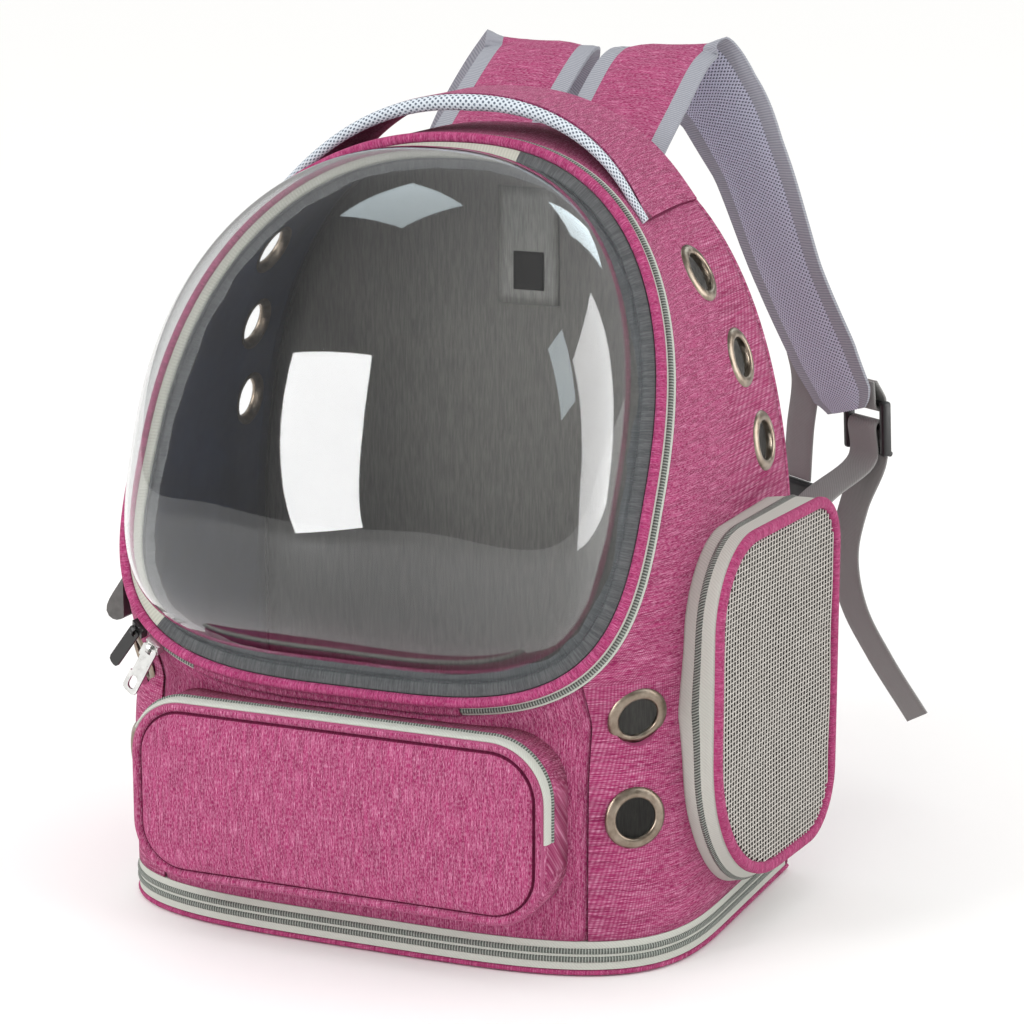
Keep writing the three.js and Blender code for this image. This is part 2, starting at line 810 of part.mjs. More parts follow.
// Front panel between the seams, up to the door's sill
function frontPanel(grow = 0, wall = clothWall) {
  const across = seamAcross - touchGap * 1.5 + grow;
  const columns = 14;
  const rows = 4;
  const outer = [];
  const inner = [];
  for (let i = 0; i <= columns; i++) {
    const x = blend(-across, across, i / columns);
    const share = powerRound(Math.abs(x) / doorHalfWidth, doorLowerPower);
    const top = doorWidestHeight - (doorWidestHeight - doorSill) * share - touchGap;
    const outerColumn = [];
    const innerColumn = [];
    for (let j = 0; j <= rows; j++) {
      const z = j < 2 ? blend(panelBottom, cornerSoftenLow, j) : blend(cornerSoftenLow, top, (j - 1) / (rows - 1));
      const point = frontSurface(x, z);
      const slope = frontSurface(x + 1, z).sub(frontSurface(x - 1, z));
      const normal = v3(-slope.y, slope.x, 0).normalize();
      outerColumn.push(point.clone().addScaledVector(normal, -grow));
      innerColumn.push(point.clone().addScaledVector(normal, wall));
    }
    outer.push(outerColumn);
    inner.push(innerColumn);
  }
  return wallBetween(outer, inner);
}
addPiece('front_panel', frontPanel(), 'heather');

// Back panel, an upright arch, and its lining inside the side wall
function archOutline(inset, lowest, steps) {
  const right = [v3(halfWidth - inset, 0, lowest), v3(halfWidth - inset, 0, archSpring)];
  for (let i = 1; i <= steps; i++) {
    const angle = (i / steps) * Math.PI / 2;
    const x = (halfWidth - inset) * Math.pow(Math.cos(angle) + 1e-12, 2 / archPower);
    const up = Math.pow(Math.sin(angle), 2 / archPower);
    right.push(v3(x, 0, archSpring + (bodyHeight - inset - archSpring) * up));
  }
  right[right.length - 1].x = 0;
  const left = right.slice(0, -1).map((p) => v3(-p.x, p.y, p.z));
  return [...left, ...right.slice().reverse()];
}
function uprightSheet(outline, from, to) {
  const shape = new THREE.Shape(outline.map((p) => new THREE.Vector2(p.x, p.z)));
  const geometry = new THREE.ExtrudeGeometry(shape, { depth: to - from, bevelEnabled: false });
  geometry.rotateX(Math.PI / 2);
  geometry.translate(0, to, 0);
  return geometry;
}
addPiece('back_panel', uprightSheet(archOutline(0, tapeBottom, 16), rear - backPadding, rear), 'heather');
const backLiningFace = rear - backPadding - touchGap;
addPiece(
  'back_lining',
  uprightSheet(
    archOutline(clothWall + liningMargin, tapeBottom, 14), backLiningFace - liningWall, backLiningFace
  ),
  'lining'
);

// The door's zipper
addPiece('door_zipper', ringPiece(zipperSection, zipperFrames(), false), 'greyTape');

// The fabric hinge: a doubled band of cloth along the sill
const hingeSection = [
  stripAt(zipperStart, -tapeThickness),
  [0.5 * hingeFlapHeight - 4, hingeFlapThickness * 0.3],
  [0, hingeFlapThickness],
  stripAt(blend(zipperStart, zipperStop, 0.5), hingeFlapThickness * 0.4),
  stripAt(zipperStop, 0),
  stripAt(zipperStop, -tapeThickness),
];
addPiece('door_hinge', ringPiece(hingeSection, hingeFrames(), false), 'heather');

// Piped rim of the door
const pipingCentre = stripAt(zipperStop + touchGap + pipingRadius, 0.2);
const pipingSides = 6;
const pipingSection = [];
for (let i = 0; i < pipingSides; i++) {
  const angle = (i / pipingSides) * 2 * Math.PI + slope;
  pipingSection.push([
    pipingCentre[0] + pipingRadius * Math.cos(angle),
    pipingCentre[1] + pipingRadius * Math.sin(angle),
  ]);
}
addPiece('door_piping', ringPiece(pipingSection), 'heather');

// Felt binding over the dome's flange
const bindingStart = [pipingCentre[0] - pipingRadius - touchGap, pipingCentre[1] + 1.2];
const bindingSection = [
  [bindingStart[0], bindingStart[1]],
  [bindingStart[0] - bindingWidth, bindingStart[1] + 0.6],
  [bindingStart[0] - bindingWidth, bindingStart[1] + 0.6 - bindingThickness],
  [bindingStart[0], bindingStart[1] - bindingThickness],
];
addPiece('door_binding', ringPiece(bindingSection), 'felt');

// Cream tape along the inside of the door's frame
const innerTapeOut = -clothWall - 2.4;
const innerTapeStart = [innerTapeOut, 3.2];
const innerTapeEnd = [innerTapeOut, 3.2 - innerTapeWidth];
const innerSection = [
  innerTapeStart,
  innerTapeEnd,
  [innerTapeEnd[0] - innerTapeThickness, innerTapeEnd[1]],
  [innerTapeStart[0] - innerTapeThickness, innerTapeStart[1]],
];

// Clear dome: a flange under the binding and a bowl standing out of the door
function domePiece() {
  const flangeTop = bindingStart[1] - bindingThickness - touchGap;
  const flangeOuter = bindingStart[0] - 0.5;
  const rim = flangeOuter - domeFlange - bindingThickness;
  const centre = v3(0, 0, 0);
  ringFrames.forEach((f) => centre.add(inFrame(f, rim, flangeTop)));
  centre.multiplyScalar(1 / ringFrames.length);
  const build = (wall) => ringFrames.map((frame) => {
    const flange = inFrame(frame, flangeOuter, flangeTop - wall);
    const foot = inFrame(frame, rim - wall, flangeTop);
    const planeFoot = inFrame(frame, rim - wall, flangeTop - wall);
    const line = [flange, planeFoot];
    const spoke = foot.clone().sub(centre);
    spoke.addScaledVector(doorNormal, -spoke.dot(doorNormal));
    const lift = foot.clone().sub(centre).dot(doorNormal);
    for (let i = 1; i < domeSteps; i++) {
      const angle = (i / domeSteps) * Math.PI / 2;
      const shrink = Math.pow(Math.cos(angle), 2 / domePower);
      const up = (domeDepth - wall) * Math.pow(Math.sin(angle), 2 / domePower);
      line.push(centre.clone()
        .addScaledVector(spoke, shrink)
        .addScaledVector(doorNormal, up + lift * shrink));
    }
    return line;
  });
  const apex = (wall) => centre.clone().addScaledVector(doorNormal, domeDepth - wall);
  return cappedShell(build(0), build(domeWall), apex(0), apex(domeWall));
}

// A bowl between two grids whose rows end at a common point
function cappedShell(outer, inner, outerApex, innerApex) {
  const rows = outer.length;
  const columns = outer[0].length;
  const points = [...outer.flat(), ...inner.flat(), outerApex, innerApex];
  const at = (side, i, j) => side * rows * columns + (i % rows) * columns + j;
  const tip = (side) => 2 * rows * columns + side;
  const triangles = [];
  const quad = (a, b, c, d) => triangles.push([a, b, c], [a, c, d]);
  for (let i = 0; i < rows; i++) {
    for (let j = 0; j < columns - 1; j++) {
      quad(at(0, i, j), at(0, i + 1, j), at(0, i + 1, j + 1), at(0, i, j + 1));
      quad(at(1, i, j), at(1, i, j + 1), at(1, i + 1, j + 1), at(1, i + 1, j));
    }
    quad(at(0, i, 0), at(1, i, 0), at(1, i + 1, 0), at(0, i + 1, 0));
    const last = columns - 1;
    triangles.push([at(0, i, last), at(0, i + 1, last), tip(0)]);
    triangles.push([at(1, i + 1, last), at(1, i, last), tip(1)]);
  }
  return geometryFrom(points, triangles);
}
addPiece('dome', domePiece(), 'clear');
addPiece('door_inner_tape', ringPiece(innerSection), 'creamTape');

// Front pocket: a cup of cloth against the front panel, with a piped rim round its face

// Points of a rounded rectangle with its own radius at each corner, starting at the
// middle of the top and going clockwise as seen from the front of the outline
function roundedOutline(left, right, bottom, top, radii, cornerPoints) {
  const [topRight, bottomRight, bottomLeft, topLeft] = radii;
  const corners = [
    { a: right - topRight, b: top - topRight, r: topRight, turn: 90 },
    { a: right - bottomRight, b: bottom + bottomRight, r: bottomRight, turn: 0 },
    { a: left + bottomLeft, b: bottom + bottomLeft, r: bottomLeft, turn: -90 },
    { a: left + topLeft, b: top - topLeft, r: topLeft, turn: -180 },
  ];
  const points = [];
  corners.forEach(({ a, b, r, turn }, c) => {
    for (let i = 0; i <= cornerPoints; i++) {
      const angle = (turn - (i / cornerPoints) * 90) * radians;
      points.push([a + r * Math.cos(angle), b + r * Math.sin(angle)]);
    }
    const next = corners[(c + 1) % 4];
    const nextAngle = next.turn * radians;
    const end = [next.a + next.r * Math.cos(nextAngle), next.b + next.r * Math.sin(nextAngle)];
    const last = points[points.length - 1];
    if (Math.hypot(end[0] - last[0], end[1] - last[1]) > 40) {
      points.push([(end[0] + last[0]) / 2, (end[1] + last[1]) / 2]);
    }
  });
  return points;
}

// An outline without the points that lie on its straight stretches
function onlyTurns(outline) {
  const count = outline.length;
  return outline.filter((p, i) => {
    const [ax, ay] = outline[(i + count - 1) % count];
    const [bx, by] = outline[(i + 1) % count];
    const cross = (p[0] - ax) * (by - p[1]) - (p[1] - ay) * (bx - p[0]);
    return Math.abs(cross) > 1e-3;
  });
}

const pocketLeft = -seamAcross + pocketLeftMargin;
const pocketRight = seamAcross - pocketRightMargin;
const pocketMiddle = [(pocketLeft + pocketRight) / 2, (pocketBottom + pocketTop) / 2];
const pocketOutline = roundedOutline(
  pocketLeft, pocketRight, pocketBottom, pocketTop, Array(4).fill(pocketCorner), 4
);
const pocketFaceY = front - pocketReach;

function insetOutline(outline, middle, inset) {
  const count = outline.length;
  return outline.map((p, i) => {
    const next = outline[(i + 1) % count];
    const before = outline[(i + count - 1) % count];
    const length = Math.hypot(next[0] - before[0], next[1] - before[1]);
    const normal = [(next[1] - before[1]) / length, -(next[0] - before[0]) / length];
    const away = normal[0] * (p[0] - middle[0]) + normal[1] * (p[1] - middle[1]) > 0 ? 1 : -1;
    return [p[0] - away * normal[0] * inset, p[1] - away * normal[1] * inset];
  });
}

function pocketShell() {
  const build = (wall) => {
    const seat = insetOutline(pocketOutline, pocketMiddle, wall);
    const rim = insetOutline(pocketOutline, pocketMiddle, wall + 1.5);
    const seam = insetOutline(pocketOutline, pocketMiddle, wall + pocketRim);
    const field = insetOutline(pocketOutline, pocketMiddle, wall + 2.6 * pocketRim);
    return pocketOutline.map((_, i) => [
      v3(seat[i][0], frontSurface(seat[i][0], seat[i][1]).y + seatGap, seat[i][1]),
      v3(seat[i][0], pocketFaceY + 3, seat[i][1]),
      v3(rim[i][0], pocketFaceY + wall, rim[i][1]),
      v3(seam[i][0], pocketFaceY + 0.8 + wall, seam[i][1]),
      v3(field[i][0], pocketFaceY - pocketFaceBulge * 0.6 + wall, field[i][1]),
    ]);
  };
  const apex = (wall) => v3(pocketMiddle[0], pocketFaceY - pocketFaceBulge + wall, pocketMiddle[1]);
  return cappedShell(build(0), build(pocketWall), apex(0), apex(pocketWall));
}
addPiece(
  'front_pocket',
  fromSolid(toSolid(pocketShell()).subtract(toSolid(frontPanel(touchGap, pocketReach)))),
  'heather'
);

// The pocket's zipper: a tape along its top wall that turns down the right corner
function pocketTape() {
  const count = pocketOutline.length;
  const fromLeft = count - 4;
  const order = [];
  for (let i = fromLeft; i < count + 6; i++) order.push(i % count);
  const lower = insetOutline(pocketOutline, pocketMiddle, -touchGap);
  const upper = insetOutline(pocketOutline, pocketMiddle, -touchGap - tapeThickness);
  const back = pocketFaceY + 5;
  const section = (i, y, line) => v3(line[i][0], y, line[i][1]);
  return solidThrough(order.map((i) => [
    section(i, back, lower),
    section(i, back, upper),
    section(i, back + pocketTapeWidth, upper),
    section(i, back + pocketTapeWidth, lower),
  ]));
}
addPiece('front_pocket_zipper', pocketTape(), 'greyTape');

// Net side pocket on the right side wall

const netMiddle = [(netFaceFront + netFaceRear) / 2, (netFaceBottom + netFaceTop) / 2];
const netRadii = [netCornerTopRear, netCornerBottomRear, netCornerBottomFront, netCornerTopFront];
const netSeat = roundedOutline(
  netPocketFront, netPocketRear, netPocketBottom, netPocketTop, netRadii, 4
);
const netFace = roundedOutline(netFaceFront, netFaceRear, netFaceBottom, netFaceTop, netRadii, 4);
const netFaceAcross = (depth) => {
  const share = (depth - netFaceFront) / (netFaceRear - netFaceFront);
  return halfWidth + blend(netReachFront, netReachRear, share);
};

function netPocketWall() {
  const build = (wall) => {
    const seat = insetOutline(netSeat, netMiddle, wall);
    const face = insetOutline(netFace, netMiddle, wall + 1);
    return netSeat.map((_, i) => {
      const foot = upperSurface(seat[i][0], seat[i][1]).x - 2 * seatGap;
      const top = netFaceAcross(face[i][0]) - touchGap - netBindingThickness / 2;
      return [
        v3(foot, seat[i][0], seat[i][1]),
        v3(blend(foot, top, 0.55), blend(seat[i][0], face[i][0], 0.4), blend(seat[i][1], face[i][1], 0.4)),
        v3(top, face[i][0], face[i][1]),
      ];
    });
  };
  return wallBetween(build(0), build(netWall), true);
}
const grownSideWall = wallBetween(offsetGrid(bodyGrid, bodyNormals, -touchGap), gussetInner);
addPiece(
  'net_pocket_wall',
  fromSolid(toSolid(netPocketWall()).subtract(toSolid(grownSideWall))),
  'greyTape'
);

function netPocketBinding() {
  const outer = netFace;
  const inner = insetOutline(netFace, netMiddle, netBindingWidth);
  const rise = netBindingThickness / 2;
  return solidThrough(outer.map((_, i) => {
    const a = netFaceAcross(outer[i][0]);
    const b = netFaceAcross(inner[i][0]);
    return [
      v3(a - rise, outer[i][0], outer[i][1]),
      v3(a + rise, blend(outer[i][0], inner[i][0], 0.15), blend(outer[i][1], inner[i][1], 0.15)),
      v3(b + rise, inner[i][0], inner[i][1]),
      v3(b - rise, inner[i][0], inner[i][1]),
    ];
  }), true);
}
addPiece('net_pocket_binding', netPocketBinding(), 'heather');

// The net: a thin panel pierced in rows and columns
function netPanel() {
  const edge = onlyTurns(insetOutline(netFace, netMiddle, netBindingWidth + touchGap));
  const shape = new THREE.Shape(edge.map(([y, z]) => new THREE.Vector2(y, z)));
  const pitchY = (netFaceRear - netFaceFront - 2 * netBindingWidth) / netColumns;
  const pitchZ = (netFaceTop - netFaceBottom - 2 * netBindingWidth) / netRows;
  const inside = (y, z) => {
    let hit = false;
    for (let i = 0, j = edge.length - 1; i < edge.length; j = i++) {
      const [yi, zi] = edge[i];
      const [yj, zj] = edge[j];
      if ((zi > z) !== (zj > z) && y < ((yj - yi) * (z - zi)) / (zj - zi) + yi) hit = !hit;
    }
    return hit;
  };
  const plate = new THREE.ExtrudeGeometry(shape, { depth: netThickness, bevelEnabled: false });
  let solid = toSolid(plate);
  for (let r = 0; r < netRows; r++) {
    for (let c = 0; c < netColumns; c++) {
      const y = netFaceFront + netBindingWidth + (c + 0.5) * pitchY;
      const z = netFaceBottom + netBindingWidth + (r + 0.5) * pitchZ;
      const corners = [[-1, -1], [1, -1], [1, 1], [-1, 1]];
      if (!corners.every(([a, b]) => inside(y + (a * pitchY) / 2, z + (b * pitchZ) / 2))) continue;
      const hole = new THREE.BoxGeometry(pitchY - netBar, pitchZ - netBar, 4 * netThickness);
      hole.translate(y, z, netThickness / 2);
      solid = solid.subtract(toSolid(hole));
    }
  }
  const geometry = fromSolid(solid);
  const position = geometry.attributes.position;
  for (let i = 0; i < position.count; i++) {
    const y = position.getX(i);
    const across = netFaceAcross(y) - netThickness / 2 + position.getZ(i);
    position.setXYZ(i, across, y, position.getY(i));
  }
  return geometry;
}
addPiece('net_panel', netPanel(), 'net');

// Carrying handle: a wide band over the crown with a soft roll under its front edge

// Place on the upper side wall at a share of the arch and a depth
function overCrown(share, depth) {
  const row = rowAtShare(share);
  if (depth >= row.cornerStart) return v3(row.back.x, depth, row.back.z);
  return rowPoint(row, (row.cornerStart - depth) / row.depth / row.endShare);
}

const handleEndShare = (() => {
  let low = 0;
  let high = 1;
  for (let i = 0; i < 40; i++) {
    const share = (low + high) / 2;
    if (alongLine(archUpperLine, share).x > handleHalfSpan) low = share;
    else high = share;
  }
  return low;
})();
const handleRear = rear - handleRearInset;
const handleSteps = 16;

// Stations over the crown, each with its front and rear edge on the side wall, the way
// up there and how far the handle's middle is lifted
const handleStations = (() => {
  const stations = [];
  for (let i = 0; i <= handleSteps; i++) {
    const side = blend(-1, 1, i / handleSteps);
    const share = blend(1, handleEndShare, Math.abs(side));
    const front = overCrown(share, alongLine(doorUpperLine, share).y + handleFrontInset);
    const back = overCrown(share, handleRear);
    const across = Math.sign(side) || 1;
    front.x *= across;
    back.x *= across;
    const lift = handleRise * Math.pow(Math.cos(side * Math.PI / 2) + 1e-9, 1.25);
    stations.push({ front, back, lift });
  }
  stations.forEach((station, i) => {
    const next = stations[Math.min(i + 1, handleSteps)].back;
    const before = stations[Math.max(i - 1, 0)].back;
    const along = next.clone().sub(before).normalize();
    station.up = v3(-along.z, 0, along.x);
  });
  return stations;
})();

function handleBand() {
  const under = handleSeat;
  return solidThrough(handleStations.map(({ front, back, lift, up }) => [
    front.clone().addScaledVector(up, lift + under),
    back.clone().addScaledVector(up, lift + under),
    back.clone().addScaledVector(up, lift + under + handleThickness),
    front.clone().addScaledVector(up, lift + under + handleThickness),
  ]));
}
addPiece('handle_band', handleBand(), 'heather');

function handleRoll() {
  const sides = 8;
  return solidThrough(handleStations.map(({ front, lift, up }, i) => {
    const share = Math.abs(i / handleSteps - 0.5) * 2;
    const radius = handleRollRadius * blend(1, handleRollEndShare, share);
    const top = Math.max(lift + handleSeat + handleThickness, 2 * radius + handleSeat);
    const middle = front.clone().addScaledVector(up, top - radius);
    middle.y -= touchGap + radius;
    return Array.from({ length: sides }, (_, k) => {
      const angle = ((k + 0.5) / sides) * 2 * Math.PI;
      return middle.clone()
        .addScaledVector(up, radius * Math.cos(angle))
        .add(v3(0, radius * Math.sin(angle), 0));
    });
  }));
}
addPiece('handle_roll', handleRoll(), 'handleMesh');

// Bands that follow a path: each station has a place, a width direction and its size

function bandThrough(stations, steps, section) {
  const places = new THREE.CatmullRomCurve3(stations.map((s) => s.place), false, 'centripetal');
  const sections = [];
  for (let i = 0; i <= steps; i++) {
    const t = i / steps;
    const place = places.getPoint(t);
    const along = places.getTangent(t).normalize();
    const at = t * (stations.length - 1);
    const k = Math.min(stations.length - 2, Math.floor(at));
    const f = at - k;
    const side = stations[k].side.clone().lerp(stations[k + 1].side, f);
    side.addScaledVector(along, -side.dot(along)).normalize();
    const normal = along.clone().cross(side);
    const width = blend(stations[k].width, stations[k + 1].width, f);
    const thick = blend(stations[k].thick, stations[k + 1].thick, f);
    sections.push(section(width, thick).map(([a, b]) => place.clone()
      .addScaledVector(side, a)
      .addScaledVector(normal, b)));
  }
  return solidThrough(sections);
}
const flatSection = (width, thick) => [
  [-width / 2, -thick / 2], [width / 2, -thick / 2], [width / 2, thick / 2], [-width / 2, thick / 2],
];
const paddedSection = (width, thick) => {
  const edge = Math.min(strapBinding * 0.5, width / 4);
  return [
    [-width / 2, 0], [-width / 2 + edge, -thick / 2], [width / 2 - edge, -thick / 2],
    [width / 2, 0], [width / 2 - edge, thick / 2], [-width / 2 + edge, thick / 2],
  ];
};

// Shoulder straps. Each row is a station of the right strap: how far across as a share of
// the way from the strap's root to its end, how far back and how high as shares of the
// fold's, the turn of its face in degrees, and its width and thickness as shares.
const strapRootAcross = strapGap / 2 + strapWidth / 2;
const strapRows = [
  { across: 0, back: 0, up: 0, turn: 0, width: 1, thick: 0.5 },
  { across: 0, back: 0, up: 0.15, turn: 0, width: 1, thick: 0.55 },
  { across: 0, back: 0.12, up: 0.36, turn: 0, width: 1, thick: 1 },
  { across: 0, back: 0.5, up: 0.7, turn: 0, width: 1, thick: 1 },
  { across: 0, back: 0.84, up: 0.955, turn: 0, width: 1, thick: 1 },
  { across: 0.02, back: 0.97, up: 0.985, turn: 0, width: 1, thick: 1 },
  { across: 0.08, back: 1.04, up: 0.92, turn: -6, width: 1, thick: 1 },
  { across: 0.25, back: 1.07, up: 0.68, turn: -18, width: 1, thick: 1 },
  { across: 0.42, back: 1.06, up: 0.34, turn: -28, width: 1, thick: 1 },
  { across: 0.66, back: 1.05, up: -0.32, turn: -34, width: 1, thick: 1 },
  { across: 0.87, back: 1.04, up: -0.76, turn: -34, width: 0.98, thick: 1 },
  { across: 0.97, back: 1.04, up: -0.97, turn: -34, width: 0.86, thick: 0.9 },
  { across: 1, back: 1.04, up: -1.06, turn: -34, width: 0.55, thick: 0.7 },
];
const strapFace = rear + touchGap + strapThickness * 0.25 + 1;

function strapStations(side) {
  const rise = strapFoldHeight - strapRootHeight;
  return strapRows.map((row) => {
    const across = blend(strapRootAcross, strapEndAcross, row.across);
    const height = row.up >= 0
      ? strapRootHeight + rise * row.up
      : strapRootHeight + (strapRootHeight - strapEndHeight) * row.up;
    const turn = row.turn * radians;
    return {
      place: v3(side * across, strapFace + strapFoldBack * row.back, height),
      side: v3(Math.cos(turn), side * Math.sin(turn), 0),
      width: strapWidth * row.width,
      thick: strapThickness * row.thick,
    };
  });
}
const strapEnd = (side) => strapStations(side)[strapRows.length - 1];

for (const [label, side] of [['right', 1], ['left', -1]]) {
  addPiece(`strap_${label}`, bandThrough(strapStations(side), 30, paddedSection), 'heather');
}

// Adjusters. A lock is a frame with two slots: a short loop of webbing from the strap
// goes round its top bar, and the long webbing comes up from the base's rear corner,
// over its lower bar and down again as a free tail.

function loopPath(centre, down, out, radius, legs) {
  const [firstLeg, secondLeg] = legs;
  const points = [centre.clone().addScaledVector(out, -radius).addScaledVector(down, firstLeg)];
  for (let i = 0; i <= 4; i++) {
    const angle = (i / 4) * Math.PI;
    points.push(centre.clone()
      .addScaledVector(out, -radius * Math.cos(angle))
      .addScaledVector(down, -radius * Math.sin(angle)));
  }
  points.push(centre.clone().addScaledVector(out, radius).addScaledVector(down, secondLeg));
  return points;
}

const station = (place, side) => ({ place, side, width: webbingWidth, thick: webbingThickness });

function adjuster(label, side) {
  const turn = -34 * radians;
  const across = v3(Math.cos(turn), side * Math.sin(turn), 0);
  const down = v3(side * 0.1, 0, -1);
  down.addScaledVector(across, -down.dot(across)).normalize();
  const out = v3(0, 0, 0).crossVectors(across, down).normalize();
  if (out.y < 0) out.negate();
  const centre = v3(side * lockAcross, rear + lockBack, lockCentreHeight);

  // The frame, drawn flat and then stood up
  const halfWide = lockWidth / 2;
  const halfTall = lockHeight / 2;
  const corner = 6;
  const frame = roundedOutline(-halfWide, halfWide, -halfTall, halfTall, Array(4).fill(corner), 3);
  const shape = new THREE.Shape(onlyTurns(frame).map(([a, b]) => new THREE.Vector2(a, b)));
  const slotHalf = halfWide - lockRail;
  const slotTops = [halfTall - lockBar, -lockBar / 2];
  const slotBottoms = [lockBar / 2, -halfTall + lockBar];
  let lock = toSolid(new THREE.ExtrudeGeometry(shape, { depth: lockThickness, bevelEnabled: false }));
  slotTops.forEach((top, i) => {
    const slot = new THREE.BoxGeometry(2 * slotHalf, top - slotBottoms[i], 3 * lockThickness);
    slot.translate(0, (top + slotBottoms[i]) / 2, lockThickness / 2);
    lock = lock.subtract(toSolid(slot));
  });
  const geometry = fromSolid(lock);
  geometry.translate(0, 0, -lockThickness / 2);
  const basis = new THREE.Matrix4().makeBasis(across, down.clone().negate(), out);
  if (basis.determinant() < 0) basis.makeBasis(across, down.clone().negate(), out.clone().negate());
  geometry.applyMatrix4(basis);
  geometry.translate(centre.x, centre.y, centre.z);
  addPiece(`ladder_lock_${label}`, geometry, 'black');

  // The short loop from the strap's end round the top bar
  const topBar = centre.clone().addScaledVector(down, -halfTall + lockBar / 2);
  const turnRadius = Math.hypot(lockBar, lockThickness) / 2 + 2 * touchGap + webbingThickness / 2;
  const end = strapEnd(side);
  const loop = loopPath(topBar, down.clone().negate(), out, turnRadius, [2, 2]);
  const stub = topBar.clone().addScaledVector(down, -strapLoopLength);
  const wanted = (strapThickness + webbingThickness) / 2 + touchGap;
  stub.addScaledVector(out, wanted - stub.clone().sub(end.place).dot(out));
  const stubFar = stub.clone().addScaledVector(out, webbingThickness + touchGap);
  const loopPoints = [stub, ...loop, stubFar];
  addPiece(
    `strap_loop_${label}`,
    bandThrough(loopPoints.map((p) => station(p, across)), 16, flatSection),
    'webbing'
  );

  // The long webbing, each row a place on the way as across, back and up
  const lowBar = centre.clone();
  const wrap = loopPath(lowBar, down, out, turnRadius, [lockHeight * 0.6, lockHeight * 0.62]);
  const anchorSide = v3(1, 0, 0);
  const anchorPlace = v3(side * anchorAcross, rear + touchGap + webbingThickness / 2, anchorHeight);
  const reach = centre.clone().sub(anchorPlace);
  const anchorRows = [
    { across: 0, back: 0, up: 0 },
    { across: 0.02, back: 0.02, up: 0.1 },
    { across: 0.05, back: 0.2, up: 0.34 },
    { across: 0.12, back: 0.48, up: 0.6 },
    { across: 0.33, back: 0.75, up: 0.78 },
  ];
  const anchorPoints = anchorRows.map((row) => station(
    anchorPlace.clone().add(v3(reach.x * row.across, reach.y * row.back, reach.z * row.up)),
    anchorSide.clone().lerp(across, row.back).normalize()
  ));
  const drop = lockCentreHeight - tailEndHeight;
  const tailRows = [
    { across: -0.055, back: 0.0, up: 0.28 },
    { across: -0.085, back: 0.0, up: 0.45 },
    { across: -0.05, back: 0.0, up: 0.63 },
    { across: 0.045, back: 0.0, up: 0.8 },
    { across: 0.185, back: 0.0, up: 1 },
  ];
  const tailStart = centre.clone().addScaledVector(out, turnRadius);
  const tailPoints = tailRows.map((row) => station(
    tailStart.clone().add(v3(side * drop * row.across, 0, -drop * row.up)),
    across
  ));
  const webbing = [...anchorPoints, ...wrap.map((p) => station(p, across)), ...tailPoints];
  addPiece(`adjuster_webbing_${label}`, bandThrough(webbing, 2 * (webbing.length - 1), flatSection), 'webbing');
}
adjuster('right', 1);
adjuster('left', -1);

// Chest strap halves, sewn on the far face of the shoulder straps at their inner edges
// and hanging down from there
function chestHalf(label, side) {
  const stations = strapStations(side);
  const here = stations[chestStation];
  const along = stations[chestStation + 1].place.clone().sub(stations[chestStation - 1].place);
  const normal = along.clone().cross(here.side).normalize();
  if (normal.y < 0) normal.negate();
  const inwards = here.side.clone().multiplyScalar(-side);
  const offset = here.thick / 2 + touchGap + webbingThickness / 2;
  const top = here.place.clone()
    .addScaledVector(inwards, here.width / 2 - chestInset)
    .addScaledVector(normal, offset);
  const down = v3(0, 0, -1);
  down.addScaledVector(normal, -down.dot(normal)).normalize();
  const sewn = top.clone().addScaledVector(down, chestSewnLength);
  const hang = chestDrop - chestSewnLength;
  const lower = sewn.clone().add(v3(-side * 0.04 * hang, 0, -0.5 * hang));
  const end = sewn.clone().add(v3(-side * 0.06 * hang, 0, -hang));
  const points = [top, sewn, lower, end].map((place) => station(place, here.side));
  addPiece(`chest_webbing_${label}`, bandThrough(points, 6, flatSection), 'webbing');

  const outline = roundedOutline(
    -buckleWidth / 2, buckleWidth / 2, -buckleHeight, 0, [4, 9, 9, 4], 2
  );
  const shape = new THREE.Shape(onlyTurns(outline).map(([a, b]) => new THREE.Vector2(a, b)));
  const buckle = new THREE.ExtrudeGeometry(shape, { depth: buckleThickness, bevelEnabled: false });
  buckle.translate(0, 0, -buckleThickness / 2);
  const up = lower.clone().sub(end).normalize();
  const wide = here.side.clone().addScaledVector(up, -here.side.dot(up)).normalize();
  buckle.applyMatrix4(new THREE.Matrix4().makeBasis(wide, up, wide.clone().cross(up)));
  buckle.translate(end.x - up.x * seatGap, end.y - up.y * seatGap, end.z - up.z * seatGap);
  addPiece(`chest_buckle_${label}`, fromSolid(toSolid(buckle)), 'black');
}
chestHalf('right', 1);
chestHalf('left', -1);

// A small soft loop on the left side, shaped like a drop
function sideLoop() {
  const shape = new THREE.Shape();
  shape.moveTo(0, 0);
  shape.bezierCurveTo(-loopThickness * 0.5, -loopLength * 0.35, -loopThickness, -loopLength * 0.6,
    -loopThickness * 0.95, -loopLength * 0.8);
  shape.bezierCurveTo(-loopThickness * 0.85, -loopLength * 1.04, -loopThickness * 0.2,
    -loopLength * 1.04, 0, -loopLength * 0.9);
  const geometry = new THREE.ExtrudeGeometry(shape, {
    depth: loopWidth, bevelEnabled: false, curveSegments: 5,
  });
  geometry.rotateX(Math.PI / 2);
  const seat = surfaceNear(v3(0, loopDepth, loopHeight));
  const low = surfaceNear(v3(0, loopDepth + loopWidth / 2, loopHeight - loopLength / 2));
  geometry.translate(-Math.max(seat.x, low.x) - seatGap, loopDepth + loopWidth / 2, loopHeight + loopLength / 2);
  return fromSolid(toSolid(geometry));
}
addPiece('side_loop', sideLoop(), 'rubber');

// Sliders on the door's zipper. Each carries a bail, a half ring across the zipper, and a
// pull tab whose top bar lies in the bail's middle, so the tab turns about that bar.

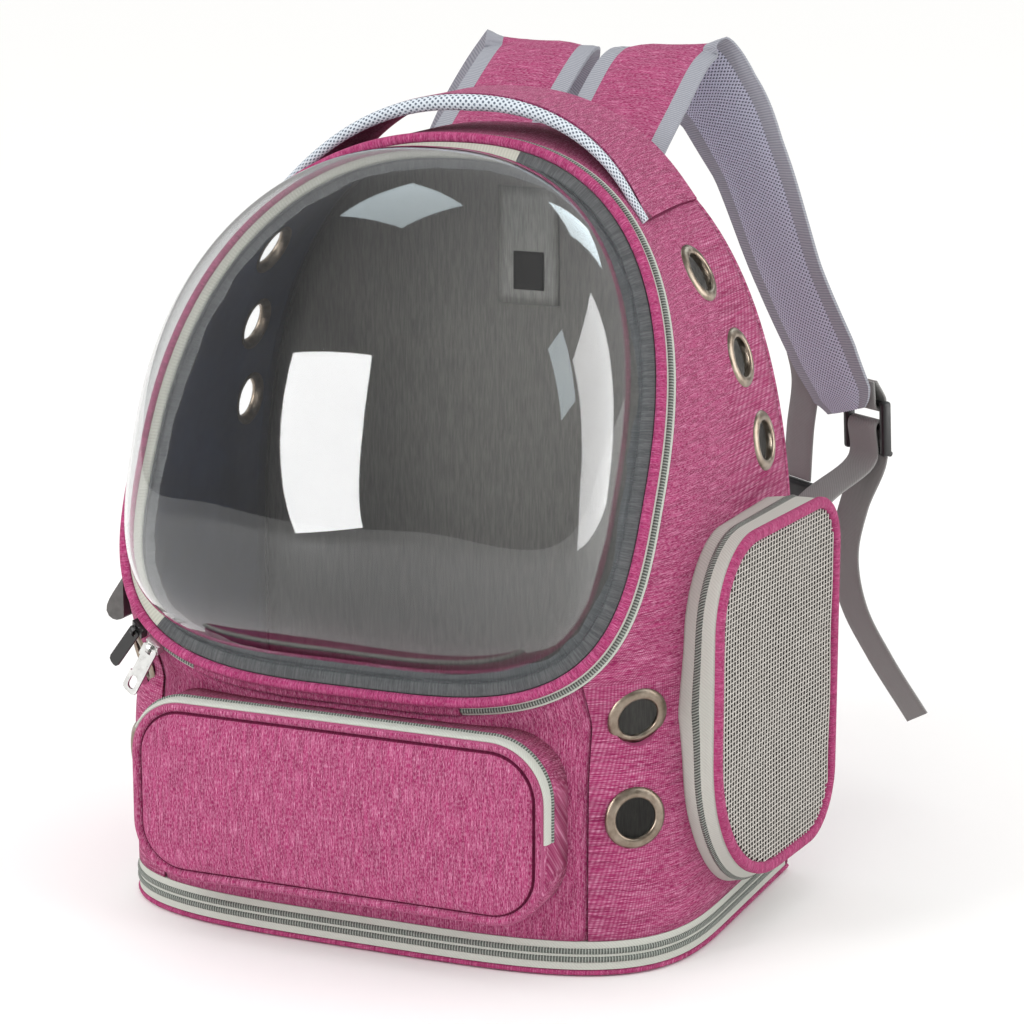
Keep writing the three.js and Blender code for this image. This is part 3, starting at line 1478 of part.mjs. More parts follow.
function frameWhere(across) {
  let best = 0;
  fineLoop.forEach((p, i) => {
    if (p.z > doorWidestHeight) return;
    if (Math.abs(p.x - across) < Math.abs(fineLoop[best].x - across) || fineLoop[best].z > doorWidestHeight) best = i;
  });
  return frameAt(fineLoop, best);
}

function pullParts(label, across, tabLength, tabWidth, colour) {
  const frame = frameWhere(across);
  const along = frame.along.clone();
  if (along.x < 0) along.negate();
  const [so, sd] = [-Math.sin(slope), Math.cos(slope)];
  const stripDirection = frame.out.clone().multiplyScalar(so).addScaledVector(frame.forward, sd);
  const rise = frame.out.clone().multiplyScalar(Math.cos(slope)).addScaledVector(frame.forward, Math.sin(slope));
  const [mo, md] = stripAt((zipperStart + zipperStop) / 2, doorCoilRise + touchGap);
  const seat = inFrame(frame, mo, md);
  const basis = new THREE.Matrix4().makeBasis(along, stripDirection, rise);
  if (basis.determinant() < 0) basis.makeBasis(along.clone().negate(), stripDirection, rise);

  const body = new THREE.BoxGeometry(sliderLength, sliderWidth, sliderThickness);
  body.translate(0, 0, sliderThickness / 2);
  let solid = toSolid(body);
  const pivotHeight = sliderThickness + tabPinHeight;
  const bailShape = new THREE.Shape();
  const outerRadius = bailRadius + bailWire / 2;
  const innerRadius = bailRadius - bailWire / 2;
  const foot = pivotHeight - sliderThickness + 0.4;
  bailShape.moveTo(outerRadius, -foot);
  bailShape.absarc(0, 0, outerRadius, 0, Math.PI, false);
  bailShape.lineTo(-outerRadius, -foot);
  bailShape.lineTo(-innerRadius, -foot);
  bailShape.absarc(0, 0, innerRadius, Math.PI, 0, true);
  bailShape.lineTo(innerRadius, -foot);
  const bail = new THREE.ExtrudeGeometry(bailShape, {
    depth: bailWire * 2, bevelEnabled: false, curveSegments: 6,
  });
  bail.translate(0, 0, -bailWire);
  bail.rotateX(Math.PI / 2);
  bail.rotateZ(Math.PI / 2);
  bail.translate(0, 0, pivotHeight);
  solid = solid.add(toSolid(bail));
  const slider = fromSolid(solid);
  slider.applyMatrix4(basis);
  slider.translate(seat.x, seat.y, seat.z);
  addPiece(`slider_${label}`, slider, colour);

  // The tab hangs from its top bar as its weight turns it
  const pivot = seat.clone().addScaledVector(rise, pivotHeight);
  const hang = v3(0, 0, -1).addScaledVector(along, along.z).normalize();
  const face = along.clone().cross(hang);
  const barHalf = tabThickness / 2;
  const holeHalf = bailWire + 0.7;
  const outline = roundedOutline(
    -tabWidth / 2, tabWidth / 2, -tabLength, barHalf, [1, 2.4, 2.4, 1], 2
  );
  const shape = new THREE.Shape(onlyTurns(outline).map(([a, b]) => new THREE.Vector2(a, b)));
  const plate = new THREE.ExtrudeGeometry(shape, { depth: tabThickness, bevelEnabled: false });
  plate.translate(0, 0, -tabThickness / 2);
  let tab = toSolid(plate);
  const hole = new THREE.BoxGeometry(2 * holeHalf, outerRadius + 0.6 - barHalf, 4 * tabThickness);
  hole.translate(0, -(barHalf + outerRadius + 0.6) / 2, 0);
  tab = tab.subtract(toSolid(hole));
  if (label === 'silver') {
    const window = roundedOutline(-2.3, 2.3, -tabLength + 2.4, -tabLength + 10.6, Array(4).fill(2.2), 2);
    const windowShape = new THREE.Shape(onlyTurns(window).map(([a, b]) => new THREE.Vector2(a, b)));
    const cut = new THREE.ExtrudeGeometry(windowShape, { depth: 6, bevelEnabled: false });
    cut.translate(0, 0, -3);
    tab = tab.subtract(toSolid(cut));
    const notch = new THREE.BoxGeometry(2.4, 11, 6);
    notch.translate(-tabWidth / 2, -tabLength * 0.42, 0);
    tab = tab.subtract(toSolid(notch));
  }
  const tabBasis = new THREE.Matrix4().makeBasis(along, hang.clone().negate(), face.clone().negate());
  if (tabBasis.determinant() < 0) tabBasis.makeBasis(along, hang.clone().negate(), face);
  const tabGeometry = fromSolid(tab);
  tabGeometry.applyMatrix4(tabBasis);
  tabGeometry.translate(pivot.x, pivot.y, pivot.z);
  addPiece(`pull_tab_${label}`, tabGeometry, colour);
}
pullParts('silver', silverSliderAcross, silverTabLength, silverTabWidth, 'silver');
pullParts('black', blackSliderAcross, blackTabLength, blackTabWidth, 'black');

export default carrier;
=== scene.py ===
# %% [markdown]
# A bubble pet carrier backpack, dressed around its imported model.
# The frame gives each part's place. Every piece below is laid on the same body, so the
# body's sizes come first, in millimetres, and each mesh is brought to metres at the end.

# %% The frame
import bpy
import bmesh
import math
from mathutils import Matrix, Quaternion, Vector, noise


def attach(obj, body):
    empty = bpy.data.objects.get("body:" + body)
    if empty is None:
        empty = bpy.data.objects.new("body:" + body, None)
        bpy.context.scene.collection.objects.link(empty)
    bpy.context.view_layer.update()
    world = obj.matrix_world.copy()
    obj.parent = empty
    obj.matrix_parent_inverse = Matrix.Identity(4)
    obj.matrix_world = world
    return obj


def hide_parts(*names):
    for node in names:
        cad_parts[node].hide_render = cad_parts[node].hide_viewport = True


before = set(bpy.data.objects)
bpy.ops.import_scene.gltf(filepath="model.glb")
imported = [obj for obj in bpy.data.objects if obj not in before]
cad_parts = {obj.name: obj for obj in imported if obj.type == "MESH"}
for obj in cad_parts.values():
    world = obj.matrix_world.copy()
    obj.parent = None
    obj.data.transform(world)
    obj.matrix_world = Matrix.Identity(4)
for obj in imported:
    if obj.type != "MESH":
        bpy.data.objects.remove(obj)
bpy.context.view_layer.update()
MM = 0.001
print("nodes", len(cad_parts))


def add_object(name, data):
    """Puts some data in the scene as an object."""
    item = bpy.data.objects.new(name, data)
    bpy.context.scene.collection.objects.link(item)
    return item


def to_data(name, mesh):
    """Writes a bmesh to mesh data and frees it."""
    data = bpy.data.meshes.new(name)
    mesh.to_mesh(data)
    mesh.free()
    return data


# %% [markdown]
# The camera stands where the photograph was taken: a long lens, a little above the bag and
# to its right. It comes first, because every detail below is judged from there.

# %% Camera
CAMERA_PLACE = Vector((0.6673, -1.4544, 0.5736))
CAMERA_AIM = Vector((0.04006, 0.0, 0.21098))
camera_data = bpy.data.cameras.new("camera")
camera_data.lens = 110
camera_data.sensor_width = 36
camera = add_object("camera", camera_data)
camera.location = CAMERA_PLACE
camera.rotation_euler = (CAMERA_AIM - CAMERA_PLACE).to_track_quat("-Z", "Y").to_euler()
bpy.context.scene.camera = camera
bpy.context.scene.view_settings.view_transform = "Standard"

# %% [markdown]
# The floor and the light. The studio is white all round, so a bright world does most of the
# work, and a few soft boxes give the bubble its white windows and the cloth its shape.

# %% Floor and light
def set_inputs(node, inputs):
    """Sets a node's inputs, with a link where the value is a socket."""
    for key, value in inputs.items():
        if isinstance(value, bpy.types.NodeSocket):
            node.id_data.links.new(value, node.inputs[key])
        else:
            node.inputs[key].default_value = value


def add_node(tree, kind, inputs=None, **settings):
    node = tree.nodes.new(kind)
    for key, value in settings.items():
        setattr(node, key, value)
    set_inputs(node, inputs or {})
    return node


def new_material(name, inputs):
    material = bpy.data.materials.new(name)
    material.use_nodes = True
    shader = material.node_tree.nodes["Principled BSDF"]
    set_inputs(shader, inputs)
    return material, shader


FLOOR_SIZE = 40.0
FLOOR_DROP = 0.0005
floor_mesh = bmesh.new()
bmesh.ops.create_grid(floor_mesh, x_segments=1, y_segments=1, size=FLOOR_SIZE / 2)
floor = add_object("floor", to_data("floor", floor_mesh))
floor.location.z = -FLOOR_DROP
floor_material, _ = new_material("studio floor", {
    "Base Color": (0.96, 0.96, 0.955, 1), "Roughness": 0.6, "Specular IOR Level": 0.1,
})
floor.data.materials.append(floor_material)

WORLD_LIGHT = 1.12
WORLD_IN_REFLECTIONS = 0.38
world = bpy.data.worlds.new("studio")
world.use_nodes = True
world_path = add_node(world.node_tree, "ShaderNodeLightPath")
world_level = add_node(world.node_tree, "ShaderNodeMapRange", {
    "Value": world_path.outputs["Is Glossy Ray"], "To Min": WORLD_LIGHT, "To Max": WORLD_IN_REFLECTIONS,
})
set_inputs(world.node_tree.nodes["Background"], {
    "Strength": world_level.outputs[0], "Color": (1.0, 0.995, 0.985, 1),
})
bpy.context.scene.world = world


def soft_box(name, place, width, height, power, tint=(1, 1, 1), roll=0.0, mirrored=True):
    """A soft box that either shows in reflections or lights the cloth."""
    light = bpy.data.lights.new(name, "AREA")
    light.shape = "RECTANGLE"
    light.size = width
    light.size_y = height
    light.energy = power
    light.color = tint
    holder = add_object(name, light)
    holder.location = place
    facing = (BUBBLE_MIDDLE - Vector(place)).to_track_quat("-Z", "Y")
    holder.rotation_euler = (facing @ Quaternion((0, 0, 1), math.radians(roll))).to_euler()
    holder.visible_diffuse = not mirrored
    holder.visible_glossy = mirrored
    holder.visible_transmission = mirrored


BUBBLE_MIDDLE = Vector((0.03, -0.12, 0.28))
COOL = (0.82, 0.95, 1.0)
soft_box("left window", (-0.68, -1.58, 0.78), 0.58, 1.34, 28, roll=15)
soft_box("right window", (1.62, 0.60, 0.65), 1.15, 1.40, 24)
soft_box("top panel", (-0.55, 0.23, 2.00), 0.70, 0.60, 4, COOL)
soft_box("rear panel", (0.50, 1.42, 1.24), 0.45, 0.60, 3, COOL)
soft_box("side panel", (1.56, -0.28, 1.26), 0.45, 0.70, 3, COOL)
soft_box("key", (-1.3, -1.9, 1.7), 0.9, 0.9, 20, mirrored=False)
soft_box("fill", (1.9, -0.6, 1.2), 0.9, 1.2, 6, mirrored=False)

# %% [markdown]
# The body's sizes, as on the solid model. Its plan is a squared ellipse and so is its arch
# from behind. The door leans back and its edge is where the side wall ends.

# %% Sizes of the body
BODY_HALF_WIDTH = 160.5
BODY_REAR = 102.4
BODY_FRONT = -102.4
BODY_HEIGHT = 402
ARCH_SPRING = 127
ARCH_POWER = 2.6
CORNER_DEPTH = 114.4
CORNER_START = BODY_FRONT + CORNER_DEPTH
CORNER_POWER = 3.8
DOOR_CORNER_POWER = 3.0
SOFTEN_LOW = 90
SOFTEN_HIGH = 150
CLOTH_WALL = 3
SIDE_REAR = 98.1
DOOR_SILL = 129.6
DOOR_WIDEST = 239.8
DOOR_HALF_WIDTH = 147.3
DOOR_CROWN = 402.5
DOOR_UPPER_POWER = 2.31
DOOR_LOWER_POWER = 3.22
DOOR_LEAN = 0.45
DOOR_LEAN_GROWTH = 13.8
DOOR_BOW = 10
SEAM_ACROSS = 120
PANEL_BOTTOM = 18.3
DOOR_NORMAL = Vector((0, -1, DOOR_LEAN)).normalized()


def power_round(share, power):
    return max(0.0, 1 - max(0.0, share) ** power) ** (1 / power)


def between(a, b, t):
    return a + (b - a) * t


def smooth_step(low, high, value):
    t = min(1.0, max(0.0, (value - low) / (high - low)))
    return t * t * (3 - 2 * t)


def arch_width(height):
    if height <= ARCH_SPRING:
        return BODY_HALF_WIDTH
    return BODY_HALF_WIDTH * power_round((height - ARCH_SPRING) / (BODY_HEIGHT - ARCH_SPRING), ARCH_POWER)


def door_width_at(height):
    lower = height < DOOR_WIDEST
    reach = DOOR_WIDEST - DOOR_SILL if lower else DOOR_CROWN - DOOR_WIDEST
    share = min(1, abs(height - DOOR_WIDEST) / reach)
    return DOOR_HALF_WIDTH * power_round(share, DOOR_LOWER_POWER if lower else DOOR_UPPER_POWER)


def door_point(across, height):
    rise = (height - DOOR_SILL) / (DOOR_CROWN - DOOR_SILL)
    bow = DOOR_BOW * (across / DOOR_HALF_WIDTH) ** 2
    lean = DOOR_LEAN * (height - DOOR_SILL) + DOOR_LEAN_GROWTH * rise * rise
    return Vector((across, BODY_FRONT + lean - bow, height))


def corner_power_at(height):
    return between(CORNER_POWER, DOOR_CORNER_POWER, smooth_step(SOFTEN_LOW, SOFTEN_HIGH, height))


def corner_depth_at(height):
    if height <= DOOR_SILL:
        return CORNER_DEPTH
    edge = door_point(door_width_at(height), height)
    return (CORNER_START - edge.y) / power_round(edge.x / arch_width(height), corner_power_at(height))


def front_surface(across, height):
    share = power_round(abs(across) / arch_width(height), corner_power_at(height))
    return Vector((across, CORNER_START - corner_depth_at(height) * share, height))


SEAM_SHARE = power_round(SEAM_ACROSS / DOOR_HALF_WIDTH, DOOR_LOWER_POWER)
SEAM_TOP = DOOR_WIDEST - (DOOR_WIDEST - DOOR_SILL) * SEAM_SHARE


class Line:
    """A fine polyline that can be read at a share of its length."""

    def __init__(self, points):
        self.points = points
        self.lengths = [0.0]
        for a, b in zip(points, points[1:]):
            self.lengths.append(self.lengths[-1] + (b - a).length)
        self.length = self.lengths[-1]

    def at(self, share):
        target = min(1.0, max(0.0, share)) * self.length
        low, high = 0, len(self.lengths) - 1
        while high - low > 1:
            middle = (low + high) // 2
            if self.lengths[middle] < target:
                low = middle
            else:
                high = middle
        span = self.lengths[high] - self.lengths[low] or 1
        return self.points[low].lerp(self.points[high], (target - self.lengths[low]) / span)


FINE = 240
HALVINGS = 40


def squared_turn(angle, power):
    """The place at an angle on a squared circle of radius 1, as (across, up)."""
    def part(value):
        return math.copysign(abs(value) ** (2 / power), value)

    return part(math.cos(angle)), part(math.sin(angle))


def door_turn(angle):
    """The door's edge at an angle from its widest row."""
    upper = math.sin(angle) >= 0
    across, up = squared_turn(angle, DOOR_UPPER_POWER if upper else DOOR_LOWER_POWER)
    reach = DOOR_CROWN - DOOR_WIDEST if upper else DOOR_WIDEST - DOOR_SILL
    return door_point(DOOR_HALF_WIDTH * across, DOOR_WIDEST + reach * up)


def arch_turn(angle, inset=0):
    """The body's outline from behind, at an angle from where its arch springs."""
    across, up = squared_turn(angle, ARCH_POWER)
    rise = BODY_HEIGHT - inset - ARCH_SPRING
    return Vector(((BODY_HALF_WIDTH - inset) * across, 0, ARCH_SPRING + rise * up))


def upper_line(start, turn):
    return Line([turn(between(start, math.pi / 2, i / FINE)) for i in range(FINE + 1)])


ARCH_START = math.asin(((DOOR_WIDEST - ARCH_SPRING) / (BODY_HEIGHT - ARCH_SPRING)) ** (ARCH_POWER / 2))
DOOR_UPPER_LINE = upper_line(0, door_turn)
ARCH_UPPER_LINE = upper_line(ARCH_START, arch_turn)


def row_at_height(height):
    width = arch_width(height)
    end = SEAM_ACROSS if height < SEAM_TOP else door_width_at(height)
    power = corner_power_at(height)
    return {
        "back": Vector((width, 0, height)), "end": Vector((end, 0, height)), "start": CORNER_START,
        "depth": corner_depth_at(height), "power": power, "reach": power_round(end / width, power),
    }


WIDEST_ROW = row_at_height(DOOR_WIDEST - 0.001)
WIDEST_EDGE = door_point(DOOR_HALF_WIDTH, DOOR_WIDEST)


def row_at_share(share):
    edge = DOOR_UPPER_LINE.at(share)
    start = min(edge.y + CORNER_START - WIDEST_EDGE.y, between(edge.y, SIDE_REAR, 0.9))
    return {
        "back": ARCH_UPPER_LINE.at(share), "end": Vector((edge.x, 0, edge.z)), "start": start,
        "depth": (start - edge.y) / WIDEST_ROW["reach"], "power": WIDEST_ROW["power"],
        "reach": WIDEST_ROW["reach"],
    }


def row_point(row, share):
    back, end = row["back"], row["end"]
    if share <= 0:
        return Vector((back.x, between(row["start"], SIDE_REAR, -share), back.z))
    reach = share * row["reach"]
    full = 1 - power_round(row["reach"], row["power"])
    turned = (1 - power_round(reach, row["power"])) / full
    return Vector((between(back.x, end.x, turned), row["start"] - row["depth"] * reach,
                   between(back.z, end.z, turned)))


def row_at_depth(row, depth):
    """The point of a row at a depth, on its flat part or round its corner."""
    if depth >= row["start"]:
        return Vector((row["back"].x, depth, row["back"].z))
    return row_point(row, (row["start"] - depth) / row["depth"] / row["reach"])


def arch_share(test):
    """The share of the way up the arch at which a test of the point stops being true."""
    low, high = 0.0, 1.0
    for _ in range(HALVINGS):
        middle = (low + high) / 2
        if test(ARCH_UPPER_LINE.at(middle)):
            low = middle
        else:
            high = middle
    return low


print("seam top", round(SEAM_TOP, 1), "door upper length", round(DOOR_UPPER_LINE.length, 1))

# %% [markdown]
# Almost every soft part is a band: a section carried along a path. The helper starts from a
# flat grid and moves its points, writes a UV map in metres so that threads keep their size,
# and closes the ends. Faces can take another material where the section changes.

# %% Helpers for bands and finished pieces
def grid_mesh(columns, rows, place, flat=None):
    """A grid whose point at column i and row j goes where place(i, j) says, in mm."""
    mesh = bmesh.new()
    layer = mesh.loops.layers.uv.new("UVMap")
    bmesh.ops.create_grid(mesh, x_segments=columns, y_segments=rows, size=0.5)
    cells = {}
    for vertex in mesh.verts:
        cells[vertex] = (round((vertex.co.x + 0.5) * columns), round((vertex.co.y + 0.5) * rows))
    spots = {cell: Vector(place(*cell)) for cell in cells.values()}
    middle_row, middle_column = rows // 2, columns // 2
    along, across = [0.0], [0.0]
    for i in range(columns):
        along.append(along[-1] + (spots[i + 1, middle_row] - spots[i, middle_row]).length)
    for j in range(rows):
        across.append(across[-1] + (spots[middle_column, j + 1] - spots[middle_column, j]).length)
    for face in mesh.faces:
        for loop in face.loops:
            i, j = cells[loop.vert]
            loop[layer].uv = flat(i, j) if flat else (along[i] * MM, across[j] * MM)
    for vertex, cell in cells.items():
        vertex.co = spots[cell] * MM
    return mesh


def set_rows(mesh, columns, slots):
    """Gives each face the material of its row, before the grid is bent or merged."""
    mesh.faces.ensure_lookup_table()
    for number, face in enumerate(mesh.faces):
        face.material_index = slots(number % columns, number // columns)


def merge(mesh, reach=2e-6):
    bmesh.ops.remove_doubles(mesh, verts=mesh.verts, dist=reach)


def fill_ends(mesh):
    bmesh.ops.holes_fill(mesh, edges=[edge for edge in mesh.edges if edge.is_boundary], sides=0)


def from_frame(at, across, up):
    """A point in a frame, which is (origin, way across, way up)."""
    return at[0] + at[1] * across + at[2] * up


def band_mesh(frames, section, ring=False, slots=None):
    """A section, a list of (across, up) or a function of the frame's number, on each frame."""
    read = section if callable(section) else (lambda i: section)
    rows = len(read(0))
    columns = len(frames) if ring else len(frames) - 1

    def place(i, j):
        number = i % len(frames)
        return from_frame(frames[number], *read(number)[j % rows])

    mesh = grid_mesh(columns, rows, place)
    if slots:
        set_rows(mesh, columns, slots)
    merge(mesh)
    if not ring:
        fill_ends(mesh)
    return mesh


def circle(radius, count, across=0.0, up=0.0):
    """A round section."""
    turns = [k / count * 2 * math.pi for k in range(count)]
    return [(across + radius * math.cos(turn), up + radius * math.sin(turn)) for turn in turns]


def face_away(mesh, centre):
    """Turns an open surface's faces away from a point, in mm."""
    bmesh.ops.recalc_face_normals(mesh, faces=mesh.faces)
    total = 0.0
    for face in mesh.faces:
        total += (face.calc_center_median() - Vector(centre) * MM).dot(face.normal) * face.calc_area()
    if total < 0:
        bmesh.ops.reverse_faces(mesh, faces=mesh.faces)


def finish(name, mesh, materials, nodes=(), body="carrier", closed=True, sharp=40):
    if closed:
        bmesh.ops.recalc_face_normals(mesh, faces=mesh.faces)
    piece = add_object(name, to_data(name, mesh))
    for material in materials:
        piece.data.materials.append(material)
    piece.data.shade_smooth()
    piece.data.set_sharp_from_angle(angle=math.radians(sharp))
    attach(piece, body)
    if nodes:
        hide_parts(*nodes)
    return piece


def wall(piece, thickness, inner_slot=0):
    """Gives an open surface its thickness, inwards."""
    solid = piece.modifiers.new("wall", "SOLIDIFY")
    solid.thickness = thickness * MM
    solid.offset = -1
    solid.material_offset = inner_slot


def shell(name, columns, rows, place, centre, thickness, materials, nodes=(),
          flat=None, slots=None, join=0.0, inner_slot=0, sharp=40):
    """An open grid that faces away from a point, merged within a reach, with its thickness."""
    mesh = grid_mesh(columns, rows, place, flat)
    if slots:
        set_rows(mesh, columns, slots)
    if join:
        merge(mesh, join)
    face_away(mesh, centre)
    piece = finish(name, mesh, materials, nodes, closed=False, sharp=sharp)
    wall(piece, thickness, inner_slot)
    return piece


def keep_shape(piece):
    """Applies a piece's modifiers."""
    graph = bpy.context.evaluated_depsgraph_get()
    data = bpy.data.meshes.new_from_object(piece.evaluated_get(graph))
    piece.modifiers.clear()
    piece.data = data




# %% [markdown]
# Materials. Each cloth's threads come from a node group that reads the UV map in metres:
# heather cloth with pale flecks, ribbed tape and webbing, zipper coils and spacer mesh.

# %% Node helpers
def linear(red, green, blue):
    def one(value):
        value /= 255
        return value / 12.92 if value <= 0.04045 else ((value + 0.055) / 1.055) ** 2.4

    return (one(red), one(green), one(blue), 1.0)


def maths_in(tree):
    """A short way to write one tree's maths nodes: the operation, then its values."""
    def work(operation, *values, clamp=False):
        inputs = dict(enumerate(values))
        return add_node(tree, "ShaderNodeMath", inputs, operation=operation, use_clamp=clamp).outputs[0]

    return work


def mix_colour(tree, factor, a, b):
    return add_node(tree, "ShaderNodeMix", {0: factor, 6: a, 7: b}, data_type="RGBA").outputs[2]


def new_group(name, starts):
    """A group that gives a colour and a height, from inputs that are colours or numbers."""
    group = bpy.data.node_groups.new(name, "ShaderNodeTree")
    for label, start in starts.items():
        kind = "NodeSocketColor" if isinstance(start, tuple) else "NodeSocketFloat"
        group.interface.new_socket(name=label, in_out="INPUT", socket_type=kind).default_value = start
    group.interface.new_socket(name="Color", in_out="OUTPUT", socket_type="NodeSocketColor")
    group.interface.new_socket(name="Height", in_out="OUTPUT", socket_type="NodeSocketFloat")
    return group, group.nodes.new("NodeGroupInput").outputs, group.nodes.new("NodeGroupOutput")


def uv_parts(tree):
    """The UV map in millimetres, as separate sockets."""
    uv = add_node(tree, "ShaderNodeUVMap", uv_map="UVMap")
    inputs = {0: uv.outputs[0], "Scale": 1 / MM}
    scaled = add_node(tree, "ShaderNodeVectorMath", inputs, operation="SCALE")
    split = add_node(tree, "ShaderNodeSeparateXYZ", {0: scaled.outputs[0]})
    return scaled.outputs[0], split.outputs[0], split.outputs[1]


def stretched_noise(tree, vector, scale):
    mapping = add_node(tree, "ShaderNodeMapping", {"Vector": vector, "Scale": scale})
    inputs = {"Vector": mapping.outputs[0], "Scale": 1.0, "Detail": 2.0, "Roughness": 0.6}
    return add_node(tree, "ShaderNodeTexNoise", inputs).outputs[0]


def object_noise(tree, scale, detail):
    spot = add_node(tree, "ShaderNodeTexCoord")
    inputs = {"Vector": spot.outputs["Object"], "Scale": scale, "Detail": detail}
    return add_node(tree, "ShaderNodeTexNoise", inputs).outputs[0]


def spread(tree, value, low, high):
    """Stretches the values from low to high over 0 to 1."""
    inputs = {"Value": value, "From Min": low, "From Max": high}
    return add_node(tree, "ShaderNodeMapRange", inputs).outputs[0]


def relief(tree, height, strength, depth_mm):
    inputs = {"Height": height, "Strength": strength, "Distance": depth_mm * MM}
    return add_node(tree, "ShaderNodeBump", inputs).outputs[0]


def threaded(name, threads, values, bump, depth_mm, surface):
    """A material whose colour and relief come from a group of threads."""
    material, shader = new_material(name, surface)
    tree = material.node_tree
    group = add_node(tree, "ShaderNodeGroup", values, node_tree=threads)
    normal = relief(tree, group.outputs["Height"], bump, depth_mm)
    set_inputs(shader, {"Base Color": group.outputs["Color"], "Normal": normal})
    return material


# %% Heather cloth
heather_group, given, made = new_group("heather weave", {
    "Base": (0.5, 0.05, 0.2, 1), "Deep": (0.3, 0.02, 0.1, 1), "Pale": (0.8, 0.3, 0.5, 1), "Fleck": 0.5,
})
vector, u, v = uv_parts(heather_group)
maths = maths_in(heather_group)
warp = maths("SINE", maths("MULTIPLY", maths("ADD", u, v), 4.4))
weft = maths("SINE", maths("MULTIPLY", maths("SUBTRACT", u, v), 5.2))
weave = maths("MULTIPLY_ADD", maths("MULTIPLY", warp, weft), 0.5, 0.5)
fleck = stretched_noise(heather_group, vector, (2.0, 0.55, 1))
streak = stretched_noise(heather_group, vector, (1.5, 0.1, 1))
broad = stretched_noise(heather_group, vector, (0.5, 0.04, 1))
fleck_mask = maths("ADD", spread(heather_group, fleck, 0.42, 0.66), spread(heather_group, streak, 0.5, 0.75))
pale_share = maths("MULTIPLY", given["Fleck"], 0.62)
pale_mask = maths("MULTIPLY", maths("MULTIPLY", weave, fleck_mask), pale_share, clamp=True)
streak_mask = spread(heather_group, maths("ADD", streak, maths("MULTIPLY", broad, 0.7)), 0.7, 1.0)
ground = mix_colour(heather_group, streak_mask, given["Deep"], given["Base"])
set_inputs(made, {
    "Color": mix_colour(heather_group, pale_mask, ground, given["Pale"]),
    "Height": maths("ADD", weave, fleck),
})


def cloth_material(name, base, deep, pale, fleck=0.8, rough=0.9, sheen=0.03, bump=0.12):
    values = {"Base": linear(*base), "Deep": linear(*deep), "Pale": linear(*pale), "Fleck": fleck}
    surface = {"Roughness": rough, "Sheen Weight": sheen, "Specular IOR Level": 0.12}
    return threaded(name, heather_group, values, bump, 0.4, surface)


heather = cloth_material("heather pink", (158, 44, 98), (128, 30, 76), (226, 172, 198), 1.0)
heather_edge = cloth_material("pink binding", (164, 46, 102), (136, 34, 82), (222, 160, 190), 0.7)
# Darker pink for the groove behind the front pocket's rim: painted shade.
groove_shade_cloth = cloth_material("pink groove shade", (104, 24, 62), (84, 18, 48), (150, 70, 104), 0.4)
felt = cloth_material("grey felt", (92, 93, 94), (74, 75, 77), (120, 121, 122), 0.5, 0.95)
dark_lining = cloth_material("dark lining", (58, 57, 56), (46, 45, 45), (70, 69, 68), 0.3, 0.6, 0.0)
back_lining = cloth_material("back lining", (105, 102, 98), (88, 86, 83), (120, 117, 113),
                             0.3, 0.55, 0.0, 0.04)
pale_lining = cloth_material("pale lining", (132, 130, 126), (112, 110, 107), (146, 144, 140),
                             0.3, 0.5, 0.0, 0.04)
# Black cloth: the patch on the lining, and the sheet of painted shade behind the net.
black_cloth_and_shade = cloth_material("black cloth and shade", (38, 36, 35), (26, 25, 25), (52, 50, 48), 0.3, 0.8)

# %% Navy side lining, smooth and faintly creased
navy_lining, navy_shader = new_material("navy lining", {"Roughness": 0.36})
tree = navy_lining.node_tree
crease_relief_and_shade = object_noise(tree, 22.0, 3.0)
# The colour follows the crease relief: the darker navy in the hollows is painted shade and the lighter navy on
# the crests painted highlight.
set_inputs(navy_shader, {
    "Base Color": mix_colour(tree, spread(tree, crease_relief_and_shade, 0.3, 0.7), linear(25, 34, 56), linear(43, 54, 80)),
    "Normal": relief(tree, crease_relief_and_shade, 0.35, 4),
})

# %% Ribbed tape, webbing and zipper coils
rib_group, given, made = new_group("ribs", {
    "Base": (0.5, 0.5, 0.5, 1), "Dark": (0.3, 0.3, 0.3, 1), "Along": 4.0, "Across": 0.0, "Depth": 0.5,
})
vector, u, v = uv_parts(rib_group)
maths = maths_in(rib_group)
phase = maths("ADD", maths("MULTIPLY", u, given["Along"]), maths("MULTIPLY", v, given["Across"]))
rib = maths("MULTIPLY_ADD", maths("SINE", phase), 0.5, 0.5)
uneven = maths("MULTIPLY", stretched_noise(rib_group, vector, (0.3, 0.5, 1)), 0.4)
rib_mask = maths("MULTIPLY", maths("ADD", rib, uneven), given["Depth"], clamp=True)
set_inputs(made, {
    "Color": mix_colour(rib_group, rib_mask, given["Base"], given["Dark"]),
    "Height": maths("SUBTRACT", 1.0, rib),
})


def rib_material(name, base, dark, along, across=0.0, depth=0.5, rough=0.75, bump=0.3, relief_mm=0.3):
    values = {"Base": linear(*base), "Dark": linear(*dark), "Along": along, "Across": across, "Depth": depth}
    surface = {"Roughness": rough, "Specular IOR Level": 0.3}
    return threaded(name, rib_group, values, bump, relief_mm, surface)


zip_tape = rib_material("zipper tape", (193, 195, 187), (168, 171, 162), 3.6, 3.6, 0.35)
coil_teeth = rib_material("zipper coil", (176, 182, 174), (82, 88, 82), 4.2, 0.0, 0.95, 0.5, 1.0, 0.6)
webbing = rib_material("grey webbing", (148, 147, 145), (112, 112, 111), 4.2, 4.2, 0.5)
strap_binding = rib_material("strap binding", (168, 170, 178), (118, 121, 130), 4.0, 1.2, 0.6)
cream_tape = rib_material("cream tape", (186, 185, 174), (150, 150, 140), 3.6, 0.0, 0.4)

